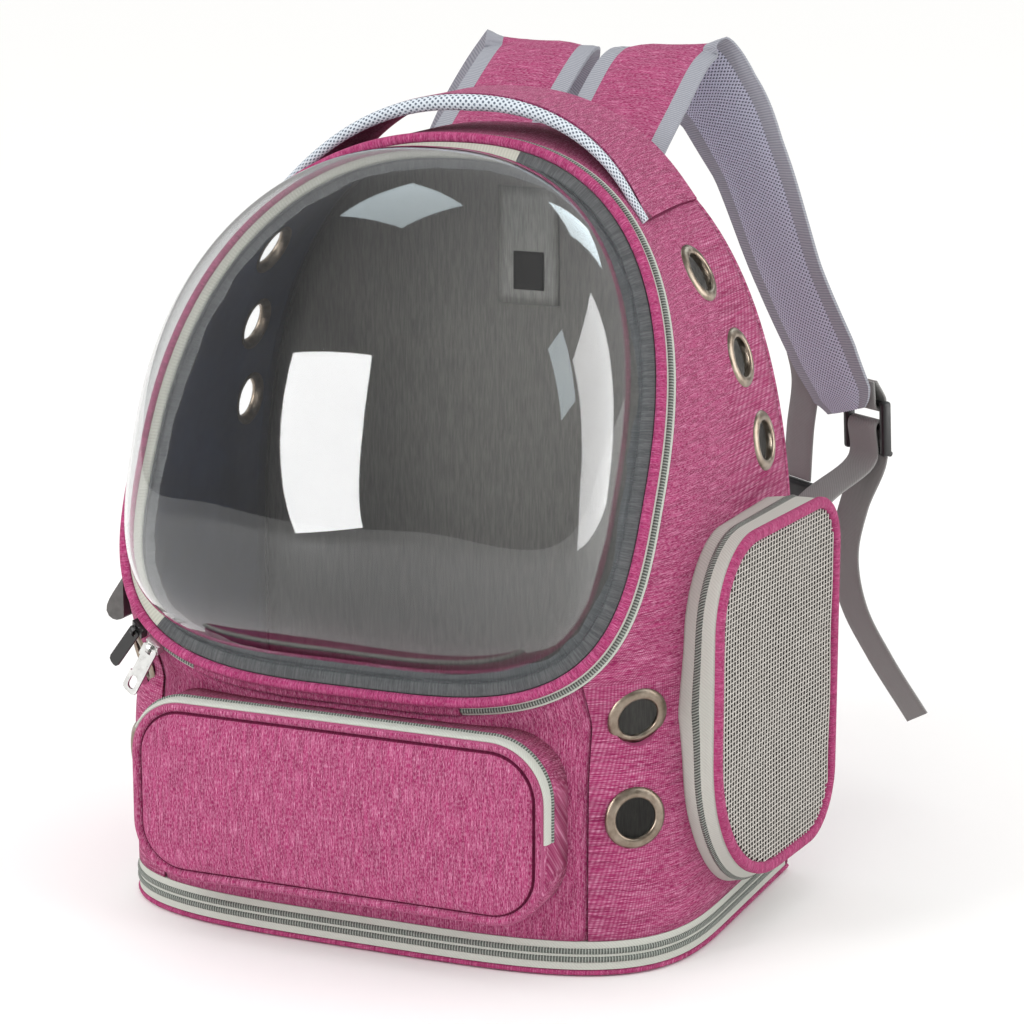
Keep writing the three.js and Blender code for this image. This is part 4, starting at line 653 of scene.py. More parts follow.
# %% Spacer mesh for the straps and the handle
mesh_group, given, made = new_group("spacer mesh", {
    "Thread": (0.6, 0.6, 0.7, 1), "Hole": (0.1, 0.1, 0.12, 1), "Wide": 2.6, "Tall": 3.8,
})
_, u, v = uv_parts(mesh_group)
maths = maths_in(mesh_group)
column = maths("DIVIDE", u, given["Wide"])
line = maths("DIVIDE", v, given["Tall"])
lean_one = maths("COSINE", maths("MULTIPLY", maths("ADD", column, line), math.pi))
lean_two = maths("COSINE", maths("MULTIPLY", maths("SUBTRACT", column, line), math.pi))
dots = maths("MULTIPLY", maths("MULTIPLY", lean_one, lean_one), maths("MULTIPLY", lean_two, lean_two))
hole = spread(mesh_group, dots, 0.25, 0.6)
set_inputs(made, {
    "Color": mix_colour(mesh_group, hole, given["Thread"], given["Hole"]),
    "Height": maths("SUBTRACT", 1.0, hole),
})


def mesh_material(name, thread, hole_colour, wide, tall):
    values = {"Thread": linear(*thread), "Hole": linear(*hole_colour), "Wide": wide, "Tall": tall}
    return threaded(name, mesh_group, values, 0.8, 0.8, {"Roughness": 0.9})


strap_mesh = mesh_material("strap mesh", (196, 199, 216), (96, 99, 114), 2.4, 3.4)
handle_mesh = mesh_material("handle mesh", (208, 216, 224), (96, 106, 120), 3.2, 3.6)

# %% Metal, plastic and the clear bubble
def worn_material(name, base, tint, rough, metal):
    """A hard finish whose colour and roughness drift a little, as handling leaves them."""
    material, shader = new_material(name, {"Metallic": metal})
    tree = material.node_tree
    drift = object_noise(tree, 260.0, 4.0)
    mask = spread(tree, drift, 0.35, 0.7)
    set_inputs(shader, {
        "Base Color": mix_colour(tree, mask, linear(*base), linear(*tint)),
        "Roughness": spread(tree, mask, -4.0 * rough, 4.0 - 2.0 * rough),
        "Normal": relief(tree, drift, 0.06, 0.3),
    })
    return material


nickel = worn_material("eyelet nickel", (128, 114, 100), (158, 146, 132), 0.32, 1.0)
silver = worn_material("silver pull", (196, 196, 194), (214, 214, 212), 0.3, 1.0)
black_metal = worn_material("black pull", (22, 22, 22), (34, 34, 34), 0.35, 0.0)
black_plastic = worn_material("black plastic", (20, 20, 21), (32, 32, 33), 0.4, 0.0)
dark_loop = worn_material("dark loop", (70, 68, 66), (88, 86, 84), 0.6, 0.0)
net_thread = worn_material("net thread", (208, 203, 196), (190, 185, 178), 0.7, 0.0)

clear_plastic, clear_shader = new_material("clear bubble", {
    "Base Color": (0.97, 0.98, 0.985, 1), "Roughness": 0.02, "IOR": 1.5, "Transmission Weight": 1.0,
})
tree = clear_plastic.node_tree
path = add_node(tree, "ShaderNodeLightPath")
through = add_node(tree, "ShaderNodeBsdfTransparent", {"Color": (0.93, 0.94, 0.94, 1)})
either = add_node(tree, "ShaderNodeMixShader", {
    0: path.outputs["Is Shadow Ray"], 1: clear_shader.outputs[0], 2: through.outputs[0],
})
set_inputs(tree.nodes["Material Output"], {"Surface": either.outputs[0]})
print("materials", len(bpy.data.materials))

# %% [markdown]
# The side wall is one long panel of padded cloth from the left of the base over the crown
# to the right. It is a bent grid with thickness, and the eyelets' holes are cut through it.

# %% Side wall
SIDE_COLUMNS = 34
SEAM_DIP = 1.6
LOWER_ROWS = 14
SEAM_ROWS = 5
FRONT_ROWS = 20
CROWN_ROWS = 44
HAIR = 0.001
FLAT_COLUMNS = 0.24


def corner_share(j):
    """Where a column lies: from -1 at the rear to 0 at the corner and 1 at the front edge."""
    t = j / SIDE_COLUMNS
    if t <= FLAT_COLUMNS:
        return between(-1, -0.02, t / FLAT_COLUMNS)
    turned = (t - FLAT_COLUMNS) / (1 - FLAT_COLUMNS)
    return math.sin(turned * math.pi / 2) ** 0.75


side_rows = [row_at_height(between(PANEL_BOTTOM, ARCH_SPRING, i / LOWER_ROWS)) for i in range(LOWER_ROWS)]
side_rows += [row_at_height(between(ARCH_SPRING, SEAM_TOP, i / SEAM_ROWS)) for i in range(SEAM_ROWS)]
for i in range(FRONT_ROWS + 1):
    rise = (DOOR_WIDEST - SEAM_TOP - 2 * HAIR) * (i / FRONT_ROWS) ** 1.15
    side_rows.append(row_at_height(SEAM_TOP + HAIR + rise))
side_rows += [row_at_share(i / CROWN_ROWS) for i in range(1, CROWN_ROWS + 1)]
SIDE_ROWS = 2 * (len(side_rows) - 1)


def side_point(i, j):
    """Point of the side wall at row i, from the left base over the crown, and column j."""
    half = SIDE_ROWS // 2
    point = row_point(side_rows[half - abs(i - half)], corner_share(j))
    if j == SIDE_COLUMNS and point.z < SEAM_TOP:
        point.y += SEAM_DIP
    if i < half:
        point.x = -point.x
    return point


side = shell("side_wall", SIDE_ROWS, SIDE_COLUMNS, side_point, (0, 20, 150), CLOTH_WALL,
             [heather, navy_lining], ["gusset"], inner_slot=1, sharp=60)

# %% Eyelet seats
UPPER_EYELETS = [(47, 335), (60, 290), (70, 245)]
LOWER_EYELETS = [(139, 132), (140, 81.5)]


def upper_surface(depth, height):
    if height <= DOOR_WIDEST:
        return row_at_depth(row_at_height(height), depth)
    return row_at_depth(row_at_share(arch_share(lambda point: point.z < height)), depth)


def lower_surface(across, height):
    row = row_at_height(height)
    share = power_round(across / row["back"].x, row["power"])
    return Vector((across, row["start"] - row["depth"] * share, height))


def seat_of(surface, a, b, step):
    """The place and the outward normal of a surface at (a, b)."""
    way_a = surface(a + step, b) - surface(a - step, b)
    way_b = surface(a, b + step) - surface(a, b - step)
    normal = way_a.cross(way_b).normalized()
    return surface(a, b), normal if normal.x > 0 else -normal


eyelet_seats = {}
for number, (depth, height) in enumerate(UPPER_EYELETS, 1):
    eyelet_seats[f"upper_{number}"] = seat_of(upper_surface, depth, height, 4)
for number, (across, height) in enumerate(LOWER_EYELETS, 1):
    eyelet_seats[f"lower_{number}"] = seat_of(lower_surface, across, height, 3)


def seat_matrix(place, normal):
    turn = Vector((0, 0, 1)).rotation_difference(normal).to_matrix().to_4x4()
    return Matrix.Translation(place * MM) @ turn


def both_sides(seat):
    place, normal = seat
    return {"right": (place, normal),
            "left": (Vector((-place.x, place.y, place.z)), Vector((-normal.x, normal.y, normal.z)))}


# %% Holes for the eyelets
HOLE_RADIUS = 13.8
HOLE_LENGTH = 24
HOLE_SIDES = 32


def rod(mesh, radius, length, sides, matrix):
    bmesh.ops.create_cone(mesh, cap_ends=True, segments=sides, radius1=radius, radius2=radius,
                          depth=length, matrix=matrix)


cutter_mesh = bmesh.new()
for seat in eyelet_seats.values():
    for place, normal in both_sides(seat).values():
        rod(cutter_mesh, HOLE_RADIUS * MM, HOLE_LENGTH * MM, HOLE_SIDES, seat_matrix(place, normal))
cutter = add_object("hole cutter", to_data("hole cutter", cutter_mesh))
cut = side.modifiers.new("holes", "BOOLEAN")
cut.operation = "DIFFERENCE"
cut.object = cutter
cut.solver = "EXACT"
keep_shape(side)
bpy.data.objects.remove(cutter)
print("side wall faces", len(side.data.polygons))

# %% [markdown]
# Each eyelet is a pressed ring: a rounded flange outside, a barrel through the wall and a
# flange inside. One half section is spun round once for each eyelet.

# %% Eyelets
RING_STEPS = 40
EYELET_SECTION = [
    (12.8, -3.6), (11.2, -1.8), (10.5, 0.0), (10.6, 0.9), (11.5, 1.5), (13.0, 1.5), (14.6, 1.0), (15.8, 0.1),
    (16.0, -0.5), (15.4, -0.7), (13.2, -0.8), (13.6, -2.9), (15.0, -3.3), (15.0, -3.9), (13.8, -4.1),
]
for label, seat in eyelet_seats.items():
    for side_name, (place, normal) in both_sides(seat).items():
        ring = bmesh.new()
        corners = [ring.verts.new((r * MM, 0, h * MM)) for r, h in EYELET_SECTION]
        edges = [ring.edges.new(pair) for pair in zip(corners, corners[1:] + corners[:1])]
        bmesh.ops.spin(ring, geom=corners + edges, axis=(0, 0, 1), cent=(0, 0, 0), steps=RING_STEPS,
                       angle=2 * math.pi, use_merge=True)
        merge(ring, 1e-6)
        bmesh.ops.transform(ring, matrix=seat_matrix(place, normal), verts=ring.verts)
        node = f"eyelet_{side_name}_{label}"
        finish(f"ring_{side_name}_{label}", ring, [nickel], [node], sharp=50)

# %% [markdown]
# The front panel closes the body between its two seams, below the door.

# %% Front panel
PANEL_COLUMNS = 48
PANEL_ROWS = 16
JOIN = 2e-6


def panel_point(i, j):
    across = between(-SEAM_ACROSS, SEAM_ACROSS, i / PANEL_COLUMNS)
    share = power_round(abs(across) / DOOR_HALF_WIDTH, DOOR_LOWER_POWER)
    top = DOOR_WIDEST - (DOOR_WIDEST - DOOR_SILL) * share - 0.3
    spot = front_surface(across, between(PANEL_BOTTOM, top, j / PANEL_ROWS))
    if i in (0, PANEL_COLUMNS):
        spot.y += SEAM_DIP
    return spot


shell("front_cloth", PANEL_COLUMNS, PANEL_ROWS, panel_point, (0, 20, 80), CLOTH_WALL,
      [heather, dark_lining], ["front_panel"], inner_slot=1)

# %% Back panel and its lining
PLATE_LOWEST = 3.3
PLATE_ROWS = 18
PLATE_SIDE_STEPS = 10
PLATE_ARCH_STEPS = 40


def arch_outline(inset):
    """The edge of a plate in the back, from its left foot over the top to its right foot."""
    right = []
    for i in range(PLATE_SIDE_STEPS):
        height = between(PLATE_LOWEST, ARCH_SPRING, i / PLATE_SIDE_STEPS)
        right.append(Vector((BODY_HALF_WIDTH - inset, 0, height)))
    right += [arch_turn(i / PLATE_ARCH_STEPS * math.pi / 2, inset) for i in range(PLATE_ARCH_STEPS + 1)]
    left = [Vector((-p.x, 0, p.z)) for p in right[:-1]]
    return left + right[::-1]


def arch_plate(name, inset, y_from, y_to, materials, node):
    outline = arch_outline(inset)

    def place(i, j):
        t = j / PLATE_ROWS
        return Vector((outline[i].x * t, y_to, between(PLATE_LOWEST + 1, outline[i].z, t)))

    def flat(i, j):
        t = j / PLATE_ROWS
        return outline[i].x * t * MM, outline[i].z * t * MM

    shell(name, len(outline) - 1, PLATE_ROWS, place, (0, y_from - 200, 200), y_to - y_from, materials,
          [node], flat=flat, join=JOIN, inner_slot=len(materials) - 1)


arch_plate("back_cloth", 0, 98.4, 102.4, [heather, dark_lining], "back_panel")
arch_plate("back_lining_cloth", 5.3, 97.1, 98.1, [back_lining], "back_lining")


def inner_patch(name, left, right, bottom, top, depth, material):
    """A flat patch of cloth sewn on the back lining, seen through the bubble."""
    columns, rows = 8, 10

    def place(i, j):
        return between(left, right, i / columns), depth, between(bottom, top, j / rows)

    shell(name, columns, rows, place, (0, 500, 200), 0.7, [material])


inner_patch("lining_panel", -9, 26.5, 304, 369, 96.2, pale_lining)
inner_patch("lining_patch", 0, 17.7, 312, 333, 95.2, black_cloth_and_shade)

# %% [markdown]
# The base is a stiff panel with a piped edge. Above it a tape with two zipper coils runs
# round both sides and the front, where the bottom of the bag unzips.

# %% Base
BASE_STEPS = 220
PLAN_SIDE_STEPS = 20
PLAN_STEPS = 120
COIL_STEPS = 6


def plan_line(rear_at):
    """The body's outline from above, from its left rear round the front to its right rear."""
    right = []
    for i in range(PLAN_SIDE_STEPS):
        right.append(Vector((BODY_HALF_WIDTH, between(rear_at, CORNER_START, i / PLAN_SIDE_STEPS), 0)))
    for i in range(PLAN_STEPS + 1):
        across, out = squared_turn(i / PLAN_STEPS * math.pi / 2, CORNER_POWER)
        right.append(Vector((BODY_HALF_WIDTH * across, CORNER_START - CORNER_DEPTH * out, 0)))
    right[-1].x = 0
    left = [Vector((-p.x, p.y, 0)) for p in right[:-1]]
    return Line(left + right[::-1])


def upright_frames(line):
    """Frames along a line in plan: across points outwards, up is +Z."""
    frames = []
    for i in range(BASE_STEPS + 1):
        share = i / BASE_STEPS
        along = (line.at(share + 0.002) - line.at(share - 0.002)).normalized()
        frames.append((line.at(share), Vector((along.y, -along.x, 0)), Vector((0, 0, 1))))
    return frames


def coil_bump(middle, half, rise):
    """Section points over one zipper coil, as (place along the tape, rise)."""
    turns = [k / COIL_STEPS * math.pi for k in range(COIL_STEPS + 1)]
    return [(middle - half * math.cos(turn), rise * math.sin(turn)) for turn in turns]


TAPE_BOTTOM, TAPE_TOP = 3.3, 18
BASE_COILS = (8.6, 12.9)
base_section = [(-CLOTH_WALL, TAPE_BOTTOM), (0, TAPE_BOTTOM)]
for height in BASE_COILS:
    base_section += [(rise, along) for along, rise in coil_bump(height, 1.5, 1.0)]
base_section += [(0, TAPE_TOP), (-CLOTH_WALL, TAPE_TOP)]
raised = [j for j, (rise, _) in enumerate(base_section) if rise > 0.01]
coil_rows = {*raised, *(j - 1 for j in raised)}
tape_mesh = band_mesh(upright_frames(plan_line(SIDE_REAR)), base_section,
                      slots=lambda i, j: 1 if j in coil_rows else 0)
finish("base_tape", tape_mesh, [zip_tape, coil_teeth], ["base_zipper"], sharp=60)

BASE_THICKNESS = 3.0
BASE_SECTION = [(-3.5, 3.0), (-1.5, 3.0), (0.2, 2.6), (0.8, 1.6), (0.3, 0.5), (-1.5, 0.0), (-3.5, 0.0)]
BASE_ROWS = len(BASE_SECTION) + 1
base_frames = upright_frames(plan_line(BODY_REAR))


def base_place(i, j):
    if j in (0, BASE_ROWS):
        return Vector((0, 0, BASE_THICKNESS if j == 0 else 0.0))
    return from_frame(base_frames[i % len(base_frames)], *BASE_SECTION[j - 1])


base_mesh = grid_mesh(len(base_frames), BASE_ROWS, base_place,
                      lambda i, j: tuple(c * MM for c in base_place(i, j).xy))
set_rows(base_mesh, len(base_frames), lambda i, j: 1 if j < 1 else 0)
merge(base_mesh)
finish("base_cloth", base_mesh, [heather_edge, dark_lining], ["base_panel"], sharp=60)

# %% [markdown]
# Round the door: the zipper on the body's edge, the piped pink rim, a felt binding at the
# foot of the bubble, and tapes inside. All follow one loop and differ only in section.

# %% Door loop
DOOR_STEPS = 240
door_line = Line([door_turn(k / FINE * math.pi / 2) for k in range(4 * FINE + 1)])
door_points = [door_line.at(i / DOOR_STEPS) for i in range(DOOR_STEPS)]
door_frames = []
for i, point in enumerate(door_points):
    along = (door_points[(i + 2) % DOOR_STEPS] - door_points[i - 2]).normalized()
    out = along.cross(DOOR_NORMAL).normalized()
    if out.dot(Vector((point.x, 0, point.z - DOOR_WIDEST))) < 0:
        out = -out
    door_frames.append((point, out, DOOR_NORMAL))

SLOPE = math.radians(34)


def strip(along, rise):
    """A point on the slanted strip that carries the zipper, as (outwards, forwards)."""
    return (-math.sin(SLOPE) * along + math.cos(SLOPE) * rise,
            math.cos(SLOPE) * along + math.sin(SLOPE) * rise)


# %% Door zipper, hinge, rim and bindings
ZIP_START, ZIP_STOP = 0.3, 6.3
ZIP_END_RIGHT, ZIP_END_LEFT = 58, -92
zip_top = [strip(ZIP_START, 0), strip(1.4, 0.05)]
zip_top += [strip(a, r) for a, r in coil_bump(3.3, 1.5, 1.1)]
zip_top += [strip(5.2, 0.05), strip(ZIP_STOP, 0)]
zip_section = zip_top + [strip(ZIP_STOP, -1.6), strip(ZIP_START, -1.6)]


def on_sill(point, margin=0.0):
    return (point.z < SEAM_TOP and point.x < ZIP_END_RIGHT - margin
            and point.x > ZIP_END_LEFT + margin)


kept = [i for i in range(DOOR_STEPS) if not on_sill(door_points[i])]
start = next(i for i in kept if (i - 1) % DOOR_STEPS not in kept)
zipper_frames = [door_frames[(start + k) % DOOR_STEPS] for k in range(len(kept))]


def end_frame(across):
    """The door's frame on the sill where it passes a place across."""
    for i in range(DOOR_STEPS):
        a, b = door_frames[i - 1], door_frames[i]
        if a[0].z < SEAM_TOP and (a[0].x - across) * (b[0].x - across) <= 0:
            t = (across - a[0].x) / (b[0].x - a[0].x)
            return tuple(p.lerp(q, t) for p, q in zip(a, b))


first_end, last_end = ZIP_END_RIGHT, ZIP_END_LEFT
if zipper_frames[0][0].x < 0:
    first_end, last_end = last_end, first_end
zipper_frames = [end_frame(first_end)] + zipper_frames + [end_frame(last_end)]
zipper_mesh = band_mesh(zipper_frames, zip_section, slots=lambda i, j: 1 if 2 <= j <= 7 else 0)
finish("door_zip", zipper_mesh, [zip_tape, coil_teeth], ["door_zipper"], sharp=60)

hinge_ids = [i for i in range(DOOR_STEPS) if on_sill(door_points[i], 2)]
hinge_ids.sort(key=lambda i: door_points[i].x)
hinge_section = [strip(0.3, -1.6), (0.5, 0.9), (0, 3), strip(3.3, 1.2), strip(6.3, 0), strip(6.3, -1.6)]
hinge_frames = [end_frame(ZIP_END_LEFT + 0.3)] + [door_frames[i] for i in hinge_ids]
hinge_frames += [end_frame(ZIP_END_RIGHT - 0.3)]
finish("hinge_cloth", band_mesh(hinge_frames, hinge_section), [heather], ["door_hinge"], sharp=60)

PIPING_RADIUS = 2.7
piping_centre = strip(ZIP_STOP + 0.3 + PIPING_RADIUS, 0.2)
piping_section = circle(PIPING_RADIUS, 14, *piping_centre)
finish("rim_piping", band_mesh(door_frames, piping_section, ring=True), [heather_edge], ["door_piping"],
       sharp=60)

binding_out = piping_centre[0] - PIPING_RADIUS - 0.3
binding_up = piping_centre[1] + 1.2
BINDING_SHAPE = [(0, -1.8), (0, -0.4), (-0.8, 0), (-3.2, 0.4), (-3.6, 0.5), (-5.6, 0.6), (-6.5, 0), (-6.5, -1.2)]
binding_section = [(binding_out + across, binding_up + up) for across, up in BINDING_SHAPE]
PALE_SIDE = 0.25


def binding_slot(i, j):
    """Cream tape shows on the left and over the top, felt on the right."""
    return 1 if door_frames[i][1].x < PALE_SIDE and door_frames[i][0].z > SEAM_TOP else 0


binding_mesh = band_mesh(door_frames, binding_section, ring=True, slots=binding_slot)
finish("rim_binding", binding_mesh, [felt, cream_tape], ["door_binding"], sharp=60)

trim_up = binding_up - 3.9
TRIM_REACH = 12.5
TRIM_THICKNESS = 1.0


def trim_section(i):
    """A felt edge whose inner side wanders, as soft cloth does behind a stiff rim."""
    spot = door_frames[i][0]
    wander = 1.8 * noise.noise(spot * 0.045) + 0.9 * noise.noise(spot * 0.12)
    inner = binding_out - TRIM_REACH - wander
    under = trim_up - TRIM_THICKNESS
    return [(binding_out, trim_up), (inner, trim_up + 0.3 * wander), (inner, under), (binding_out, under)]


finish("felt_trim", band_mesh(door_frames, trim_section, ring=True), [felt], (), sharp=60)

INNER_OUT = -CLOTH_WALL - 2.4
INNER_THICKNESS = 1.2
INNER_TOP, INNER_BOTTOM = 3.2, -7.8
inner_section = [(INNER_OUT, INNER_TOP), (INNER_OUT, INNER_BOTTOM),
                 (INNER_OUT - INNER_THICKNESS, INNER_BOTTOM), (INNER_OUT - INNER_THICKNESS, INNER_TOP)]
finish("inner_tape", band_mesh(door_frames, inner_section, ring=True), [cream_tape], ["door_inner_tape"],
       sharp=60)

# %% [markdown]
# The bubble is a formed sheet of clear plastic: a flat flange under the binding and a bowl
# that rises steeply and flattens over the top. Its grid runs round the door and to the tip.

# %% Bubble
DOME_DEPTH = 95
DOME_POWER = 2.5
DOME_WALL = 1.2
DOME_ROUNDING = 0.45
FLANGE_WIDTH = 6.8
flange_top = binding_up - 1.8 - 0.3
flange_outer = binding_out - 0.5
dome_rim = flange_outer - FLANGE_WIDTH
rim_points = [from_frame(at, dome_rim, flange_top) for at in door_frames]
dome_centre = sum(rim_points, Vector()) / DOOR_STEPS
DOME_ROWS = 52
DOOR_ACROSS = Vector((1, 0, 0))
DOOR_UP = DOOR_ACROSS.cross(DOOR_NORMAL) * -1
rim_rises = [(point - dome_centre).dot(DOOR_UP) for point in rim_points]
HALF_ACROSS = max(abs((point - dome_centre).dot(DOOR_ACROSS)) for point in rim_points)
HALF_UP = (max(rim_rises) - min(rim_rises)) / 2


def bowl_height(share):
    """Height of the bowl, 1 in the middle and 0 at the rim, rounded over the top."""
    def swell(reach):
        return (reach * reach + DOME_ROUNDING ** 2) ** (DOME_POWER / 2)

    fallen = (swell(share) - swell(0)) / (swell(1) - swell(0))
    return max(0.0, 1 - fallen) ** (1 / DOME_POWER)


def dome_place(i, j):
    """The flange's outer edge, its inner edge, then rows up the bowl to the tip."""
    if j == 0:
        return from_frame(door_frames[i % DOOR_STEPS], flange_outer, flange_top - DOME_WALL)
    if j == 1:
        return from_frame(door_frames[i % DOOR_STEPS], dome_rim + 1.2, flange_top - DOME_WALL)
    spoke = rim_points[i % DOOR_STEPS] - dome_centre
    lift = spoke.dot(DOOR_NORMAL)
    spoke -= DOOR_NORMAL * lift
    shrink = 1 - ((j - 2) / (DOME_ROWS - 2)) ** DOME_POWER
    turn = math.atan2(spoke.dot(DOOR_UP) / HALF_UP, spoke.dot(DOOR_ACROSS) / HALF_ACROSS)
    oval = DOOR_ACROSS * (HALF_ACROSS * math.cos(turn)) + DOOR_UP * (HALF_UP * math.sin(turn))
    spoke = oval.lerp(spoke, shrink ** 4)
    up = DOME_DEPTH * bowl_height(shrink)
    if j == DOME_ROWS:
        shrink, up = 0, DOME_DEPTH
    return dome_centre + spoke * shrink + DOOR_NORMAL * (up + lift * shrink ** 4)


shell("bubble", DOOR_STEPS, DOME_ROWS, dome_place, tuple(dome_centre), DOME_WALL, [clear_plastic],
      ["dome"], join=2e-5, sharp=180)

# %% [markdown]
# The front pocket is a cup of cloth sewn to the panel. Its face has a sewn rim and a slight
# bulge, and its zipper's tape lies along the top wall and turns down the right corner.

# %% Front pocket
CORNER_STEPS = 24


def rounded_line(left, right, bottom, top, radii):
    """Rounded rectangle as a closed line in (a, b), clockwise from the top right corner."""
    top_right, bottom_right, bottom_left, top_left = radii
    corners = [(right - top_right, top - top_right, top_right, 90),
               (right - bottom_right, bottom + bottom_right, bottom_right, 0),
               (left + bottom_left, bottom + bottom_left, bottom_left, -90),
               (left + top_left, top - top_left, top_left, -180)]
    points = []
    for a, b, r, turn in corners:
        for k in range(CORNER_STEPS + 1):
            angle = math.radians(turn - 90 * k / CORNER_STEPS)
            points.append(Vector((a + r * math.cos(angle), b + r * math.sin(angle), 0)))
    points.append(points[0].copy())
    return Line(points)


def outline_frames(line, count):
    """(point, outward normal) at even steps round a closed line."""
    result = []
    for i in range(count):
        share = i / count
        along = line.at((share + 0.002) % 1.0) - line.at((share - 0.002) % 1.0)
        along.normalize()
        result.append((line.at(share), Vector((-along.y, along.x, 0))))
    return result


POCKET_STEPS = 180
pocket_frames = outline_frames(rounded_line(-119.4, 111, 31, 127, [30] * 4), POCKET_STEPS)
POCKET_MIDDLE = Vector((-4.2, 79, 0))
POCKET_FACE = BODY_FRONT - 23
# Stations from the seat round the edge to the middle of the face: inset and depth
POCKET_PROFILE = [
    (0.3, None), (0, 12), (0, 7.5), (0.1, 4.5), (0.8, 2.4), (2.0, 0.9), (3.4, 0.4), (4.8, 1.0), (5.6, 2.4),
    (6.2, 2.6), (6.8, 1.2), (8.2, 0.3), (11, -0.4), (20, -1.9), (34, -2.7), (46, -3.0),
]
# The rows of the groove behind the rim roll, which take the darker pink of painted shade.
POCKET_GROOVE_SHADE_ROWS = (8, 9)


def pocket_place(i, j):
    spot, normal = pocket_frames[i % POCKET_STEPS]
    if j == len(POCKET_PROFILE):
        return Vector((POCKET_MIDDLE.x, POCKET_FACE - 3.0, POCKET_MIDDLE.y))
    inset, depth = POCKET_PROFILE[j]
    if inset <= 9:
        at = spot - normal * inset
    else:
        edge = spot - normal * 9
        at = edge.lerp(POCKET_MIDDLE, (inset - 9) / 46)
    if depth is None:
        y = front_surface(at.x, at.y).y - 0.5
    else:
        ripple = 0.35 * noise.noise(Vector((at.x / 26, at.y / 22, 3.1)))
        y = POCKET_FACE + depth + ripple * min(1, inset / 10)
    return Vector((at.x, y, at.y))


def pocket_flat(i, j):
    """The threads run up the face and on over the pocket's walls."""
    spot = pocket_place(i, j)
    return spot.x * MM, (spot.z + (spot.y if j < 5 else 0)) * MM


shell("pocket_cloth", POCKET_STEPS, len(POCKET_PROFILE), pocket_place, (-4, -80, 79), 2,
      [heather, dark_lining, groove_shade_cloth], ["front_pocket"], flat=pocket_flat,
      slots=lambda i, j: 2 if j in POCKET_GROOVE_SHADE_ROWS else 0, join=JOIN, inner_slot=1)

# The tape lies where the wall faces up, and a short way down the right side
taped = [i for i, (spot, _) in enumerate(pocket_frames) if spot.y > 108 or (spot.x > 60 and spot.y > 77)]
first_taped = next(i for i in taped if (i - 1) % POCKET_STEPS not in taped)
pocket_tape_frames = []
for k in range(len(taped)):
    spot, normal = pocket_frames[(first_taped + k) % POCKET_STEPS]
    out = Vector((normal.x, 0, normal.y))
    pocket_tape_frames.append((Vector((spot.x, POCKET_FACE, spot.y)), out, Vector((0, 1, 0))))
pocket_tape_section = [(-0.5, 1.5), (0.4, 2.5), (0.9, 4.2), (1.0, 6.6)]
pocket_tape_section += [(1.0 + rise, along) for along, rise in coil_bump(8.2, 1.3, 0.9)]
pocket_tape_section += [(1.0, 9.9), (0.2, 9.9), (0.2, 4.4), (-0.4, 3.0), (-1.2, 2.1)]
pocket_zip_mesh = band_mesh(pocket_tape_frames, pocket_tape_section, slots=lambda i, j: 1 if 4 <= j <= 9 else 0)
finish("pocket_zip", pocket_zip_mesh, [zip_tape, coil_teeth], ["front_pocket_zipper"], sharp=60)

# %% [markdown]
# The net pocket on the right: a leaning wall of tape with a zipper in it, a pink binding
# round its face, and a coarse net of threads over a black sheet of painted shade.

# %% Net pocket
NET_STEPS = 160
NET_WALL_ROWS = 10
NET_COIL_ROW = 5
NET_RADII = [30, 35, 80, 45]
NET_FRONT, NET_REAR, NET_BOTTOM, NET_TOP = -62, 95, 31, 218
NET_WIDTH, NET_HEIGHT = NET_REAR - NET_FRONT, NET_TOP - NET_BOTTOM
net_seat = outline_frames(rounded_line(-52, 92, 21, 216, NET_RADII), NET_STEPS)
net_face = outline_frames(rounded_line(NET_FRONT, NET_REAR, NET_BOTTOM, NET_TOP, NET_RADII), NET_STEPS)


def net_across(depth):
    return BODY_HALF_WIDTH + between(16, 27, (depth - NET_FRONT) / NET_WIDTH)


def net_wall_place(i, j):
    seat, seat_normal = net_seat[i % NET_STEPS]
    face, face_normal = net_face[i % NET_STEPS]
    face = face - face_normal * 1.0
    foot = upper_surface(seat.x, seat.y).x - 1.0
    top = net_across(face.x) - 2.2
    t = j / NET_WALL_ROWS
    bulge = 0.9 * math.sin(t * math.pi) + (0.8 if j == NET_COIL_ROW else 0.0)
    spot = seat.lerp(face, t ** 1.2) + face_normal * bulge
    return Vector((between(foot, top, t), spot.x, spot.y))


shell("net_pocket_side", NET_STEPS, NET_WALL_ROWS, net_wall_place, (165, 18, 120), 2,
      [zip_tape, coil_teeth], ["net_pocket_wall"],
      slots=lambda i, j: 1 if j in (NET_COIL_ROW - 1, NET_COIL_ROW) else 0, join=JOIN)

net_frames = []
for spot, normal in net_face:
    middle = Vector((net_across(spot.x), spot.x, spot.y))
    net_frames.append((middle, Vector((0, normal.x, normal.y)), Vector((1, 0, 0))))
net_binding_section = [(0, -1.7), (0, 0.3), (-0.9, 1.5), (-3, 1.7), (-5.2, 1.4), (-6, 0.2), (-6, -1.7)]
finish("net_binding", band_mesh(net_frames, net_binding_section, ring=True), [heather_edge],
       ["net_pocket_binding"], sharp=60)

NET_PITCH_Y, NET_PITCH_Z = 3.6, 2.6
net_columns = round(NET_WIDTH / NET_PITCH_Y)
net_rows = round(NET_HEIGHT / NET_PITCH_Z)
net_outline = [(s - n * 6.2) for s, n in net_face]


def inside_net(y, z):
    hit = False
    for a, b in zip(net_outline, net_outline[1:] + net_outline[:1]):
        if (a.y > z) != (b.y > z) and y < (b.x - a.x) * (z - a.y) / (b.y - a.y) + a.x:
            hit = not hit
    return hit


def net_place(i, j):
    y = NET_FRONT + NET_WIDTH * i / net_columns
    z = NET_BOTTOM + NET_HEIGHT * j / net_rows
    ease = 1.2 * math.sin(math.pi * i / net_columns) * math.sin(math.pi * j / net_rows)
    y += 1.3 * noise.noise(Vector((y / 40, z / 30, 1.7)))
    return Vector((net_across(y) - 0.5 - ease, y, z))


